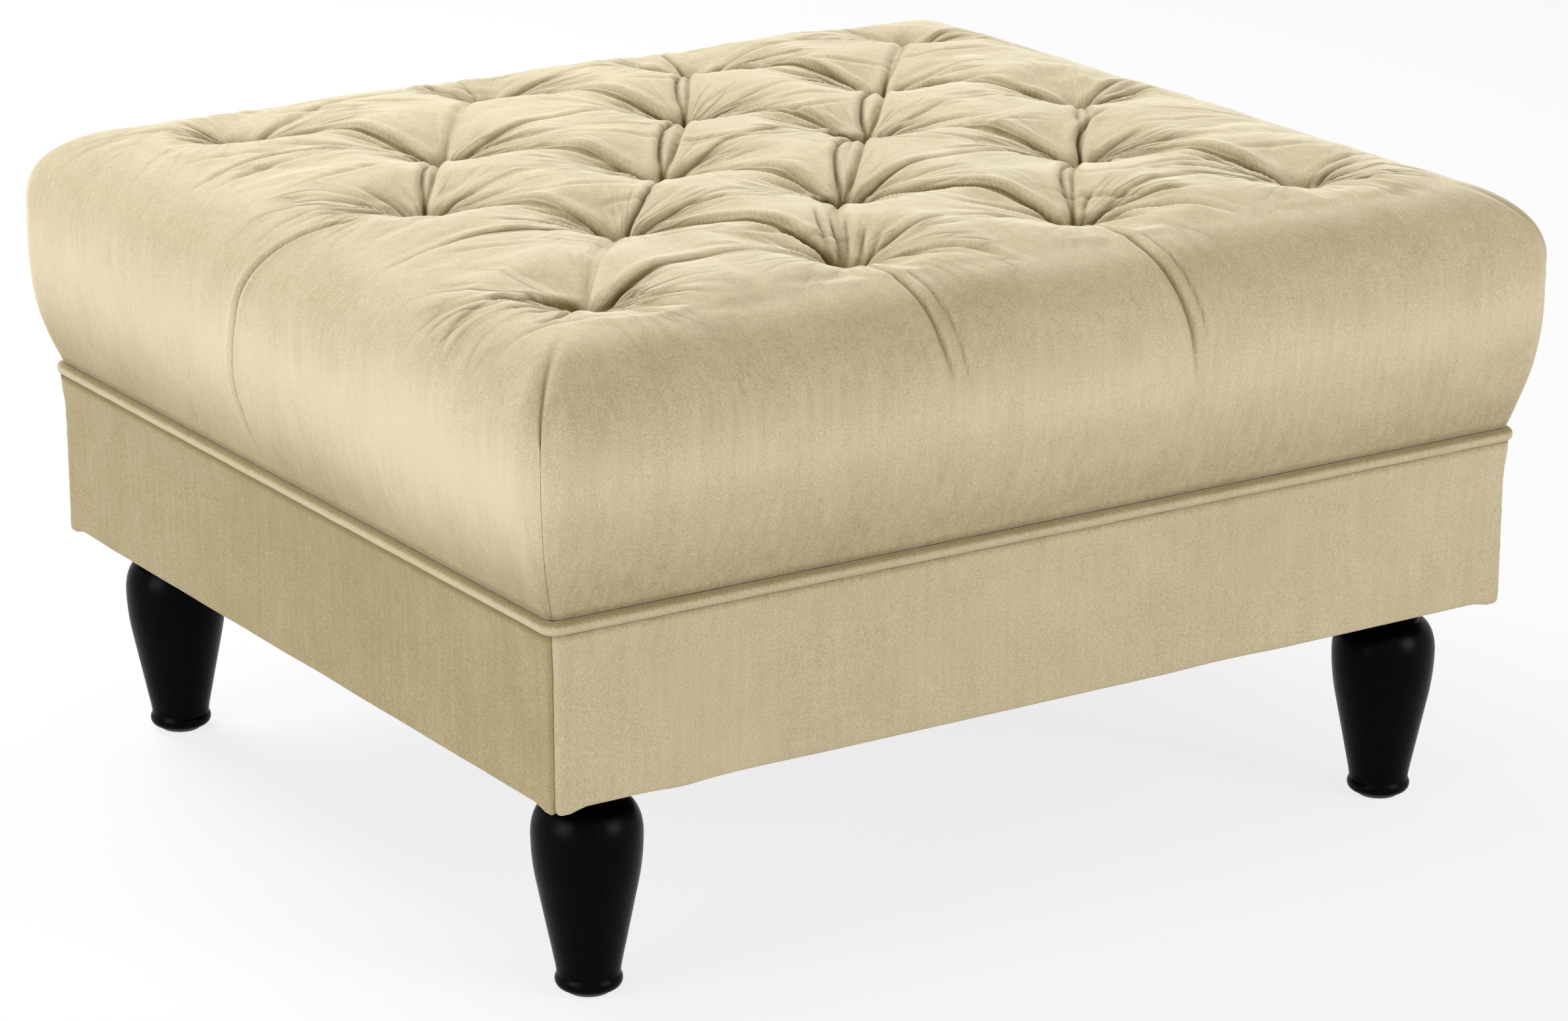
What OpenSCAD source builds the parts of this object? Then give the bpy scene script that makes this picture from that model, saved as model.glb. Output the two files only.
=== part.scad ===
// Tufted footstool: an upholstered box on four turned legs, with a deep-tufted seat.
// Millimetres, +Z up. The origin is on the floor, under the middle of the seat.

/* [Base] */
// Width of the upholstered base, left to right
base_w = 750; // [700:5:900]
// Depth of the upholstered base, front to back
base_d = 685; // [640:5:850]
// Height of the base's sides, from their underside up to the piping
base_h = 113.4; // [100:0.2:160]
// Radius of the base's upright corners
base_corner_r = 6; // [6:0.5:12]
// How far the velvet flares out where it meets the piping
flare = 2.5; // [0.5:0.5:4]
// Height of the stretch in which it flares
flare_h = 28; // [15:1:50]

/* [Fabric] */
// Thickness of the velvet with its backing
fabric_t = 1.6; // [1:0.1:2]
// Thickness of the fleece between the velvet and the rails
fleece_t = 4; // [3:0.5:4]
// Width of the velvet turned in under the rails
turn_in = 20; // [12:1:22]
// Thickness of the black cloth under the base
dust_t = 0.6; // [0.4:0.1:1]
// How far the black cloth stays inside the base's outline
dust_inset = 9; // [5:1:11]
// Diameter of the piping cord
piping_d = 9; // [7:0.5:10]
// How far the piping's axis lies outside the base's outline
piping_out = 0.5; // [0:0.1:1]
// Height of the piping's stapled flange
piping_flange_h = 18; // [12:1:25]

/* [Seat] */
// Height of the seat, from the deck board to the top of its crown
seat_h = 180; // [150:1:210]
// How far the seat bulges out past the base
bulge = 23; // [15:1:35]
// Height of the widest place above the deck board
wide_h = 114; // [95:1:125]
// How much lower the seat's edge roll is than the crown
roll_drop = 8; // [0:1:15]
// Width of the edge roll
roll_w = 60; // [45:1:60]
// Softening of the seat's corners
seat_corner_r = 26; // [10:1:35]
// How far the cover's lower edge reaches out over the piping
cover_edge = 1.5; // [0:0.5:3]
// How far the hollow for the filling stays inside the base's outline
hollow_inset = 10; // [8:1:14]
// Thickness of the cover under the bottom of a tuft
cover_t = 4; // [2:0.5:6]
// Thickness of the fibre wadding
wadding_t = 12; // [6:1:20]
// Radius of the foam block's upright corners
foam_r = 25; // [10:1:40]

/* [Tufting] */
// Distance between the tufts of one row
tuft_dx = 185; // [170:1:190]
// Distance between one row and the next row but one
tuft_dy = 252; // [235:1:260]
// Depth of a tuft below the crown
tuft_depth = 50; // [35:1:60]
// Radius of a tuft's funnel
tuft_r = 34; // [26:1:40]
// Depth of the folds that join neighbouring tufts
fold_depth = 22; // [5:1:30]
// Width of the slope on each side of a fold
fold_w = 74; // [40:1:80]
// Depth of the pleats that run out over the seat's edge
pleat_depth = 6; // [1:0.5:8]
// Width of the slope on each side of a pleat
pleat_w = 30; // [20:1:40]
// Diameter of the tufting twine
twine_d = 2.4; // [1.5:0.1:3]
// Diameter of the anchor discs behind the tufts
anchor_d = 18; // [12:1:22]
// Thickness of the anchor discs
anchor_t = 1.6; // [1:0.1:3]
// Length of the toggles under the deck board
toggle_l = 28; // [20:1:36]
// Diameter of the toggles
toggle_d = 7; // [6:0.5:10]
// Diameter of the twine's knots
knot_d = 5; // [4:0.5:7]

/* [Frame] */
// Thickness of the rails
rail_t = 18; // [16:1:22]
// Thickness of the deck board
deck_t = 15; // [12:1:18]
// Height of the two cross rails
cross_h = 60; // [50:1:80]
// Length of a corner block's sides
block_l = 110; // [100:1:120]
// Height of a corner block
block_h = 38; // [32:1:44]

/* [Legs] */
// Height of a leg with its glide
leg_h = 146; // [135:1:170]
// Distance from the base's outline to a leg's axis
leg_inset = 56; // [52:1:62]
// Radius at the widest place of the bulb
bulb_r = 35.4; // [30:0.2:38]
// Height of that place
bulb_z = 106; // [98:1:110]
// Height at which the straight taper starts to curve into the bulb
taper_top = 73; // [60:1:85]
// Height of the bulb's rounded shoulder
shoulder_h = 22; // [16:1:24]
// Radius of the leg's top
leg_top_r = 23.4; // [18:0.2:26]
// Radius of the neck above the foot ring
neck_r = 19.9; // [18:0.1:20.5]
// Radius of the foot ring
ring_r = 21.6; // [21:0.1:24]
// Height of the foot ring's middle
ring_z = 8; // [7.5:0.1:9]
// Thickness of the foot ring, from its middle to its edge
ring_half_h = 5.4; // [4:0.1:5.4]
// Radius of the plastic glide under a leg
glide_r = 15; // [12:0.5:16]
// Thickness of the glide
glide_t = 2.5; // [2:0.1:2.5]
// Length of the glide's nail
glide_nail_l = 14; // [10:1:20]
// Diameter of the glide's nail
glide_nail_d = 3.6; // [3:0.1:4]

/* [Hardware] */
// Diameter of the leg bolts
bolt_d = 8; // [6:1:8]
// Length of the leg bolts
bolt_l = 70; // [64:1:76]
// Length of bolt that is screwed into the leg
bolt_in_leg = 34; // [28:1:40]
// Diameter of a tee nut's flange
tee_flange_d = 22; // [18:1:26]
// Thickness of a tee nut's flange
tee_flange_t = 1.5; // [1:0.1:2]
// Length of a tee nut's barrel
tee_l = 12; // [8:1:16]
// Wall of a tee nut's barrel
tee_wall = 1; // [0.8:0.1:1.5]
// Shank diameter of the wood screws
screw_d = 4; // [3:0.5:5]
// Head diameter of the wood screws
screw_head_d = 8; // [7:0.5:10]
// Length of the wood screws
screw_l = 45; // [36:1:50]

/* [Hidden] */
$fn = 48;
gap = 0.3;         // between soft pieces that lie on each other
slip = 0.05;       // radial clearance of bolts, screws, nails and nuts in their bores
lap = 1;           // how far a cutter reaches past what it cuts

// Heights
z_dust = leg_h;                              // the black cloth lies on the tops of the legs
z_velvet = z_dust + dust_t;                  // underside of the turned-in velvet and the corner blocks
z_rail = z_velvet + fabric_t;                // underside of the rails
z_panel_top = z_velvet + base_h;             // where the velvet meets the piping
z_piping = z_panel_top + piping_d / 2;       // the piping's axis
z_flange = z_piping - piping_flange_h;       // lower edge of the piping's flange
z_deck = z_panel_top + piping_d;             // top of the deck board
z_rail_top = z_deck - deck_t;
z_cover = z_deck + gap;                      // underside of the cover's edge
z_wide = z_deck + wide_h;
z_crown = z_deck + seat_h;
z_roll = z_crown - roll_drop;
z_tuft = z_crown - tuft_depth;               // bottom of every tuft
z_hollow = z_tuft - cover_t;                 // ceiling of the hollow in the cover
z_wadding = z_hollow - gap;                  // top of the wadding
z_foam = z_wadding - wadding_t;              // top of the foam

// Widths
rail_inset = fabric_t + fleece_t + 0.4;      // from the base's outline to the rails
frame_w = base_w - 2 * rail_inset;
frame_d = base_d - 2 * rail_inset;
inner_w = frame_w - 2 * rail_t;              // between the rails
inner_d = frame_d - 2 * rail_t;
wide_x = base_w / 2 + bulge;                 // the seat's widest outline
wide_y = base_d / 2 + bulge;
hollow_r = foam_r + wadding_t;               // upright corners of the hollow
fleece_in = fabric_t + (rail_inset - fabric_t - fleece_t) / 2;

// The tufts stand in rows of four and three by turns, so they lie where column + row is odd
tuft_cols = 3;     // columns of half a pitch on each side of the middle
tuft_rows = 2;     // rows on each side of the middle
half_dx = tuft_dx / 2;
half_dy = tuft_dy / 2;
tuft_x = tuft_cols * half_dx;
tuft_y = tuft_rows * half_dy;
tufts = [for (c = [-tuft_cols:tuft_cols], r = [-tuft_rows:tuft_rows]) if ((c + r) % 2 != 0)
    [c * half_dx, r * half_dy]];
cross_x = 1.5 * half_dx;                     // the cross rails run between columns of tufts

velvet_colour = [0.80, 0.73, 0.58];
black_colour = [0.03, 0.03, 0.03];
pine_colour = [0.82, 0.68, 0.47];
ply_colour = [0.76, 0.61, 0.42];
foam_colour = [0.93, 0.90, 0.78];
fleece_colour = [0.96, 0.96, 0.94];
steel_colour = [0.70, 0.71, 0.72];
twine_colour = [0.88, 0.84, 0.74];

// Plan shapes

// A rectangle with round corners
module round_rect(w, d, r) {
    square([w - 2 * r, d], center = true);
    square([w, d - 2 * r], center = true);
    at_corners(w / 2 - r, d / 2 - r) circle(r);
}

// The same thing at the four corners
module at_corners(x, y) {
    for (sx = [-1, 1], sy = [-1, 1]) translate([sx * x, sy * y, 0]) children();
}

// The same thing at every tuft
module at_tufts() {
    for (t = tufts) translate([t[0], t[1], 0]) children();
}

// A profile carried round the base: x is the distance from the corner's centre, y is the height
module round_the_base() {
    x = base_w / 2 - base_corner_r;
    y = base_d / 2 - base_corner_r;
    for (turn = [[0, x, y], [90, -x, y], [180, -x, -y], [270, x, -y]])
        translate([turn[1], turn[2], 0]) rotate([0, 0, turn[0]])
            rotate_extrude(angle = 90) children();
    for (side = [[0, x, 2 * y], [90, y, 2 * x], [180, x, 2 * y], [270, y, 2 * x]])
        rotate([0, 0, side[0]]) translate([side[1], side[2] / 2, 0])
            rotate([90, 0, 0]) linear_extrude(side[2]) children();
}

// The plan of the side on -Y of a box w wide and d deep, mitred at its ends
module mitred_side(w, d, depth) {
    out = 2 * flare + lap;
    translate([0, -d / 2, 0]) polygon([[-w / 2 - out, -out], [w / 2 + out, -out],
        [w / 2 - depth, depth], [-w / 2 + depth, depth]]);
}

// Seat

// The roll's drop at a distance from the middle, from 0 on top to 1 at the widest outline
function roll(v, wide) =
    let (e = max(0, min(1, (abs(v) - wide + roll_w) / roll_w)))
    1 - sqrt(1 - e * e);

// Distance of a point from the line between two others
function line_dist(p, a, b) =
    let (t = max(0, min(1, (p - a) * (b - a) / ((b - a) * (b - a)))))
    norm(p - a - t * (b - a));

// Folds between neighbouring tufts, and pleats from the outer tufts to the widest outline
folds = [for (t = tufts, s = [-1, 1]) if (t[1] < tuft_y - 1 && abs(t[0] + s * half_dx) < tuft_x + 1)
    [t, t + [s * half_dx, half_dy]]];
function out_to(v, last, wide) = abs(v) > last - 1 ? sign(v) * wide : v;
pleats = [for (t = tufts) let (end = [out_to(t[0], tuft_x, wide_x), out_to(t[1], tuft_y, wide_y)])
    if (end != t) [t, end]];

// How deep a groove is at a distance from its middle: 1 in the middle, 0 at its edge
function groove(distance, width) = pow(max(0, 1 - distance / width), 2);

function fold_at(p) = fold_depth * max([for (f = folds) groove(line_dist(p, f[0], f[1]), fold_w)]);
function funnel_at(p) = max([for (t = tufts) groove(norm(p - t), tuft_r)]);
function pleat_at(p) = max([for (f = pleats)
    let (out = min(1, norm(p - f[0]) / norm(f[1] - f[0])))
    (fold_depth + (pleat_depth - fold_depth) * out) * groove(line_dist(p, f[0], f[1]), pleat_w)]);

// The outline's corners are drawn in to a radius
function soften(p, x, y) =
    let (dx = abs(p[0]) - x + seat_corner_r, dy = abs(p[1]) - y + seat_corner_r)
    dx <= 0 || dy <= 0 ? p :
    let (k = max(dx, dy) / norm([dx, dy]))
    [sign(p[0]) * (x - seat_corner_r + k * dx), sign(p[1]) * (y - seat_corner_r + k * dy)];

// One point of the tufted top
function top_point(x, y) =
    let (rx = roll(x, wide_x), ry = roll(y, wide_y), drop = max(rx, ry),
        crown = roll_drop * (1 - pow(x / wide_x, 2)) * (1 - pow(y / wide_y, 2)),
        slope = acos(1 - drop),
        out = rx > ry ? [sign(x), 0] : [0, sign(y)],
        depth = max(fold_at([x, y]), pleat_at([x, y])),
        p = soften([x, y], wide_x, wide_y) - out * depth * sin(slope),
        z = z_wide + (z_roll - z_wide) * (1 - drop) + crown - depth * cos(slope))
    [p[0], p[1], z + (z_tuft - z) * funnel_at([x, y])];

// Grid lines across the top: four steps to half a pitch, then four from the last tuft to the edge
steps = 4;
roll_angles = [25, 57, 90];
function edge_lines(tuft_end, wide) = [(tuft_end + wide - roll_w + roll_w * sin(roll_angles[0])) / 2,
    for (a = roll_angles) wide - roll_w + roll_w * sin(a)];
function half_lines(count, half_pitch, wide) = concat([for (i = [1:count * steps]) i * half_pitch / steps],
    edge_lines(count * half_pitch, wide));
function grid_lines(half) = concat([for (i = [len(half) - 1:-1:0]) -half[i]], [0], half);
lines_x = grid_lines(half_lines(tuft_cols, half_dx, wide_x));
lines_y = grid_lines(half_lines(tuft_rows, half_dy, wide_y));
nx = len(lines_x);
ny = len(lines_y);

// The sides: rings below the widest outline, each given as a share of the height of the sides
ring_shares = [0.62, 0.26, 0];
side_curve = 2.3;              // a higher power draws the sides in closer to the piping
function side_out(share) = cover_edge + (bulge - cover_edge) * (1 - pow(1 - share, side_curve));
function drawn_in(v, tuft_end, wide, new_wide) = abs(v) <= tuft_end ? v :
    sign(v) * (tuft_end + (abs(v) - tuft_end) * (new_wide - tuft_end) / (wide - tuft_end));
rim = concat([for (i = [0:nx - 2]) [i, 0]], [for (j = [0:ny - 2]) [nx - 1, j]],
    [for (i = [nx - 1:-1:1]) [i, ny - 1]], [for (j = [ny - 1:-1:1]) [0, j]]);
rim_len = len(rim);
function side_point(ij, share) =
    let (x = base_w / 2 + side_out(share), y = base_d / 2 + side_out(share),
        p = [lines_x[ij[0]], lines_y[ij[1]]],
        depth = share * pleat_at(p),
        out = ij[1] == 0 ? [0, -1] : ij[1] == ny - 1 ? [0, 1] : ij[0] == 0 ? [-1, 0] : [1, 0],
        q = [drawn_in(p[0], tuft_x, wide_x, x), drawn_in(p[1], tuft_y, wide_y, y)],
        s = soften(q, x, y) - out * depth)
    [s[0], s[1], z_cover + share * (z_wide - z_cover)];

function top_index(i, j) = i * ny + j;
function ring_index(ring, k) = ring < 0 ? top_index(rim[k % rim_len][0], rim[k % rim_len][1]) :
    nx * ny + ring * rim_len + k % rim_len;

// Each square of the grid is split along the fold that crosses it, or towards the corner
function splits_up(i, j) =
    let (x = (lines_x[i] + lines_x[i + 1]) / 2, y = (lines_y[j] + lines_y[j + 1]) / 2)
    abs(x) > tuft_x || abs(y) > tuft_y ? x * y > 0 :
    abs(cos(90 * (x / half_dx - y / half_dy))) < abs(cos(90 * (x / half_dx + y / half_dy)));

top_faces = [for (i = [0:nx - 2], j = [0:ny - 2])
    let (a = top_index(i, j), b = top_index(i + 1, j),
        c = top_index(i + 1, j + 1), d = top_index(i, j + 1))
    each splits_up(i, j) ? [[a, c, b], [a, d, c]] : [[a, d, b], [b, d, c]]];
side_faces = [for (ring = [-1:len(ring_shares) - 2], k = [0:rim_len - 1])
    let (a = ring_index(ring, k), b = ring_index(ring, k + 1),
        c = ring_index(ring + 1, k + 1), d = ring_index(ring + 1, k))
    each [[a, b, c], [a, c, d]]];
bottom_face = [[for (k = [0:rim_len - 1]) ring_index(len(ring_shares) - 1, k)]];

// The velvet with the fibre that fills its diamonds and its sides
module seat_cover() {
    points = concat([for (i = [0:nx - 1], j = [0:ny - 1]) top_point(lines_x[i], lines_y[j])],
        [for (share = ring_shares, ij = rim) side_point(ij, share)]);
    color(velvet_colour) difference() {
        polyhedron(points, concat(top_faces, side_faces, bottom_face));
        translate([0, 0, z_cover - lap]) linear_extrude(z_hollow - z_cover + lap)
            round_rect(base_w - 2 * hollow_inset, base_d - 2 * hollow_inset, hollow_r);
    }
}

// A sheet of fibre over the foam, with a hollow for each anchor disc
module seat_wadding() {
    inset = hollow_inset + gap;
    color(fleece_colour) difference() {
        translate([0, 0, z_deck]) linear_extrude(z_wadding - z_deck)
            round_rect(base_w - 2 * inset, base_d - 2 * inset, hollow_r - gap);
        translate([0, 0, z_deck - lap]) linear_extrude(z_foam - z_deck + lap)
            round_rect(base_w - 2 * (inset + wadding_t), base_d - 2 * (inset + wadding_t), foam_r - gap);
        at_tufts() {
            translate([0, 0, z_wadding - anchor_t - slip])
                cylinder(d = anchor_d + 2 * gap, h = anchor_t + lap);
            translate([0, 0, z_foam - lap]) cylinder(d = twine_d + 2 * gap, h = wadding_t + 2 * lap);
        }
    }
}

module seat_foam() {
    inset = hollow_inset + gap + wadding_t;
    color(foam_colour) difference() {
        translate([0, 0, z_deck]) linear_extrude(z_foam - z_deck)
            round_rect(base_w - 2 * inset, base_d - 2 * inset, foam_r - gap);
        at_tufts() translate([0, 0, z_deck - lap])
            cylinder(d = twine_d + 2 * gap, h = z_foam - z_deck + 2 * lap);
    }
}

// The disc behind each tuft that keeps its twine from pulling through
module tuft_anchors() {
    color(twine_colour) at_tufts() translate([0, 0, z_wadding - anchor_t]) difference() {
        cylinder(d = anchor_d, h = anchor_t);
        translate([0, 0, -lap]) cylinder(d = twine_d + 2 * slip, h = anchor_t + 2 * lap);
    }
}

// One twine a tuft, from its disc down to the knot under its toggle
module tuft_twines() {
    low = z_rail_top - toggle_d - slip;
    color(twine_colour) at_tufts() {
        translate([0, 0, low - knot_d / 4]) cylinder(d = twine_d, h = z_wadding - low + knot_d / 4);
        translate([0, 0, low - knot_d / 2]) sphere(d = knot_d);
    }
}

module tuft_toggles() {
    color(pine_colour) at_tufts() translate([0, 0, z_rail_top - toggle_d / 2]) difference() {
        rotate([90, 0, 0]) cylinder(d = toggle_d, h = toggle_l, center = true);
        cylinder(d = twine_d + 2 * slip, h = toggle_d + 2 * lap, center = true);
    }
}

// The cord in its velvet, with the flange that is stapled to the deck board and the rails
module seat_piping() {
    neck = base_corner_r - rail_inset + 0.2;
    color(velvet_colour) round_the_base() {
        translate([base_corner_r + piping_out, z_piping]) circle(d = piping_d);
        translate([neck, z_piping - fabric_t / 2]) square([base_corner_r + piping_out - neck, fabric_t]);
        translate([neck, z_flange]) square([fabric_t, piping_flange_h + fabric_t / 2]);
    }
}

// Upholstered base

// The fleece wraps the rails and ends below the piping's flange
module rail_fleece() {
    out_w = base_w - 2 * fleece_in;
    out_d = base_d - 2 * fleece_in;
    in_w = out_w - 2 * fleece_t;
    in_d = out_d - 2 * fleece_t;
    out_r = base_corner_r - fleece_in;
    color(fleece_colour) translate([0, 0, z_rail]) linear_extrude(z_flange - gap - z_rail) difference() {
        round_rect(out_w, out_d, out_r);
        round_rect(in_w, in_d, max(0.2, out_r - fleece_t));
    }
}

// The velvet's section: upright, then flared in a smooth curve to meet the piping
function flare_at(s) = flare * s * s * (3 - 2 * s);
flare_steps = 6;
flare_line = [for (i = [0:flare_steps]) let (s = i / flare_steps)
    [flare_at(s), z_panel_top - flare_h * (1 - s)]];

module velvet_skin() {
    base_r = base_corner_r;
    cut_r = piping_d / 2 + 0.2;
    round_the_base() difference() {
        polygon(concat([[base_r - fabric_t, z_velvet], [base_r, z_velvet]],
            [for (p = flare_line) [base_r + p[0], p[1]]],
            [for (i = [flare_steps:-1:0]) [base_r + flare_line[i][0] - fabric_t, flare_line[i][1]]]));
        translate([base_r + piping_out, z_piping]) circle(r = cut_r);
    }
    translate([0, 0, z_velvet]) linear_extrude(fabric_t) difference() {
        round_rect(base_w - fabric_t, base_d - fabric_t, base_r - fabric_t / 2);
        square([base_w - 2 * turn_in, base_d - 2 * turn_in], center = true);
    }
}

// One side's panel, sewn to its neighbours along mitres at the corners
module panel(turn, w, d) {
    color(velvet_colour) intersection() {
        velvet_skin();
        rotate([0, 0, turn]) translate([0, 0, z_velvet - lap]) linear_extrude(base_h + 2 * lap)
            mitred_side(w, d, turn_in + lap);
    }
}

module front_panel() {
    panel(0, base_w, base_d);
}

module back_panel() {
    panel(180, base_w, base_d);
}

module left_panel() {
    panel(-90, base_d, base_w);
}

module right_panel() {
    panel(90, base_d, base_w);
}

module dust_cover() {
    color(black_colour) translate([0, 0, z_dust]) linear_extrude(dust_t) difference() {
        square([base_w - 2 * dust_inset, base_d - 2 * dust_inset], center = true);
        at_corners(base_w / 2 - leg_inset, base_d / 2 - leg_inset) circle(d = bolt_d + 2 * gap);
    }
}

// Frame

screw_head_h = (screw_head_d - screw_d) / 2;
screw_tip = 1.5 * screw_d;

// A countersunk wood screw pointing along -Z, its head flush at z = 0
module screw(grow = 0) {
    r = screw_d / 2 + grow;
    rotate_extrude() polygon([[0, -screw_l - grow], [r, screw_tip - screw_l], [r, -screw_head_h],
        [screw_head_d / 2 + grow, 0], [screw_head_d / 2 + grow, grow], [0, grow]]);
}

// A screw's bore, cut a little deeper and wider than the screw
module screw_bore() {
    screw(grow = slip);
}

// Where the horizontal screws go into a long or a short rail: [place along the rail, height]
rail_mid = (z_rail + z_rail_top) / 2;
rail_screw_dz = (z_rail_top - z_rail) / 4;
cross_mid = z_rail_top - cross_h / 2;
cross_screw_dz = cross_h / 4;
block_mid = z_velvet + block_h / 2;
block_screw_in = 62;           // from the inside corner of the rails to a corner block's screw
front_screws = concat(
    [for (s = [-1, 1], k = [-1, 1]) [s * (frame_w - rail_t) / 2, rail_mid + k * rail_screw_dz]],
    [for (s = [-1, 1], k = [-1, 1]) [s * cross_x, cross_mid + k * cross_screw_dz]],
    [for (s = [-1, 1]) [s * (inner_w / 2 - block_screw_in), block_mid]]);
side_screws = [for (s = [-1, 1]) [s * (inner_d / 2 - block_screw_in), block_mid]];

// The horizontal screws of the whole frame, or their bores
module horizontal_screws() {
    for (turn = [0, 180], p = front_screws)
        rotate([0, 0, turn]) translate([p[0], -frame_d / 2, p[1]]) rotate([90, 0, 0]) children();
    for (turn = [90, 270], p = side_screws)
        rotate([0, 0, turn]) translate([p[0], -frame_w / 2, p[1]]) rotate([90, 0, 0]) children();
}

// The deck board's screws, or their bores
deck_screw_end = 90;           // from a rail's end to its outer screws
module vertical_screws() {
    for (s = [-1, 1]) {
        for (x = [-frame_w / 2 + deck_screw_end, 0, frame_w / 2 - deck_screw_end])
            translate([x, s * (frame_d - rail_t) / 2, z_deck]) children();
        for (y = [-inner_d / 4, inner_d / 4]) {
            translate([s * (frame_w - rail_t) / 2, y, z_deck]) children();
            translate([s * cross_x, y, z_deck]) children();
        }
    }
}

module frame_screws() {
    color(steel_colour) horizontal_screws() screw();
}

module deck_screws() {
    color(steel_colour) vertical_screws() screw();
}

// A piece of the frame with the bores of all the screws that meet it
module bored() {
    difference() {
        children();
        horizontal_screws() screw_bore();
        vertical_screws() screw_bore();
    }
}

module long_rail(side) {
    color(pine_colour) bored() translate([-frame_w / 2, side * (frame_d - rail_t) / 2 - rail_t / 2, z_rail])
        cube([frame_w, rail_t, z_rail_top - z_rail]);
}

module short_rail(side) {
    color(pine_colour) bored() translate([side * (frame_w - rail_t) / 2 - rail_t / 2, -inner_d / 2, z_rail])
        cube([rail_t, inner_d, z_rail_top - z_rail]);
}

module cross_rail(side) {
    color(pine_colour) bored() translate([side * cross_x - rail_t / 2, -inner_d / 2, z_rail_top - cross_h])
        cube([rail_t, inner_d, cross_h]);
}

module front_rail() {
    long_rail(-1);
}

module back_rail() {
    long_rail(1);
}

module left_rail() {
    short_rail(-1);
}

module right_rail() {
    short_rail(1);
}

module cross_rail_left() {
    cross_rail(-1);
}

module cross_rail_right() {
    cross_rail(1);
}

module deck_board() {
    color(ply_colour) difference() {
        bored() translate([-frame_w / 2, -frame_d / 2, z_rail_top]) cube([frame_w, frame_d, deck_t]);
        at_tufts() translate([0, 0, z_rail_top - lap])
            cylinder(d = twine_d + 2 * gap, h = deck_t + 2 * lap);
    }
}

// A three-cornered block with its tips cut off, bored for the leg's bolt and tee nut
module corner_block(sx, sy) {
    tip = 12;                  // width of the faces left where the tips were cut off
    color(pine_colour) bored() difference() {
        translate([sx * inner_w / 2, sy * inner_d / 2, z_velvet]) linear_extrude(block_h)
            into_quarter(-sx, -sy)
                polygon([[0, 0], [block_l, 0], [block_l, tip], [tip, block_l], [0, block_l]]);
        leg_place(sx, sy) {
            translate([0, 0, z_velvet - lap]) cylinder(d = bolt_d + 2 * gap, h = block_h + 2 * lap);
            translate([0, 0, z_velvet + block_h - tee_l])
                cylinder(r = bolt_d / 2 + tee_wall + 2 * slip, h = tee_l + lap);
        }
    }
}

// Mirrors its children into one of the four quarters of the plan
module into_quarter(sx, sy) {
    mirror([sx < 0 ? 1 : 0, 0, 0]) mirror([0, sy < 0 ? 1 : 0, 0]) children();
}

module leg_place(sx, sy) {
    translate([sx * (base_w / 2 - leg_inset), sy * (base_d / 2 - leg_inset), 0]) children();
}

module corner_block_front_left() {
    corner_block(-1, -1);
}

module corner_block_front_right() {
    corner_block(1, -1);
}

module corner_block_back_left() {
    corner_block(-1, 1);
}

module corner_block_back_right() {
    corner_block(1, 1);
}

// Legs

// The taper is straight up to taper_top, then curves evenly up to the bulb's widest place
neck_z = ring_z + 4.5;
taper_slope = (bulb_r - neck_r) / (taper_top - neck_z + (bulb_z - taper_top) / 2);
function bulb_at(z) = bulb_r - taper_slope * pow(bulb_z - z, 2) / (2 * (bulb_z - taper_top));
curve_steps = 8;
ring_bead = 5;                 // how far the foot ring's section reaches in from its edge

// A turned leg: foot ring, long taper, bulb, rounded shoulder and neck
module leg_body() {
    profile = concat([[0, glide_t]],
        [for (a = [-84:14:42]) [ring_r - ring_bead * (1 - cos(a)), ring_z + ring_half_h * sin(a)]],
        [[neck_r, neck_z]],
        [for (i = [0:curve_steps]) let (z = taper_top + (bulb_z - taper_top) * i / curve_steps)
            [bulb_at(z), z]],
        [for (a = [10:10:80]) [leg_top_r + (bulb_r - leg_top_r) * cos(a), bulb_z + shoulder_h * sin(a)]],
        [[leg_top_r, bulb_z + shoulder_h], [leg_top_r, leg_h], [0, leg_h]]);
    rotate_extrude() polygon(profile);
}

module leg(sx, sy) {
    color(black_colour) leg_place(sx, sy) difference() {
        leg_body();
        translate([0, 0, leg_h - bolt_in_leg - lap])
            cylinder(r = bolt_d / 2 + slip, h = bolt_in_leg + 2 * lap);
        translate([0, 0, glide_t - lap]) cylinder(d = glide_nail_d + 2 * slip, h = glide_nail_l + 2 * lap);
    }
}

module leg_front_left() {
    leg(-1, -1);
}

module leg_front_right() {
    leg(1, -1);
}

module leg_back_left() {
    leg(-1, 1);
}

module leg_back_right() {
    leg(1, 1);
}

module leg_bolts() {
    chamfer = 1;
    r = bolt_d / 2;
    color(steel_colour) at_corners(base_w / 2 - leg_inset, base_d / 2 - leg_inset)
        translate([0, 0, leg_h - bolt_in_leg]) rotate_extrude()
            polygon([[0, 0], [r - chamfer, 0], [r, chamfer], [r, bolt_l - chamfer],
                [r - chamfer, bolt_l], [0, bolt_l]]);
}

module tee_nuts() {
    bore_r = bolt_d / 2 + slip;
    color(steel_colour) at_corners(base_w / 2 - leg_inset, base_d / 2 - leg_inset)
        translate([0, 0, z_velvet + block_h]) difference() {
            union() {
                cylinder(d = tee_flange_d, h = tee_flange_t);
                translate([0, 0, -tee_l]) cylinder(r = bore_r + tee_wall, h = tee_l + tee_flange_t / 2);
            }
            translate([0, 0, -tee_l - lap]) cylinder(r = bore_r, h = tee_l + tee_flange_t + 2 * lap);
        }
}

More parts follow.
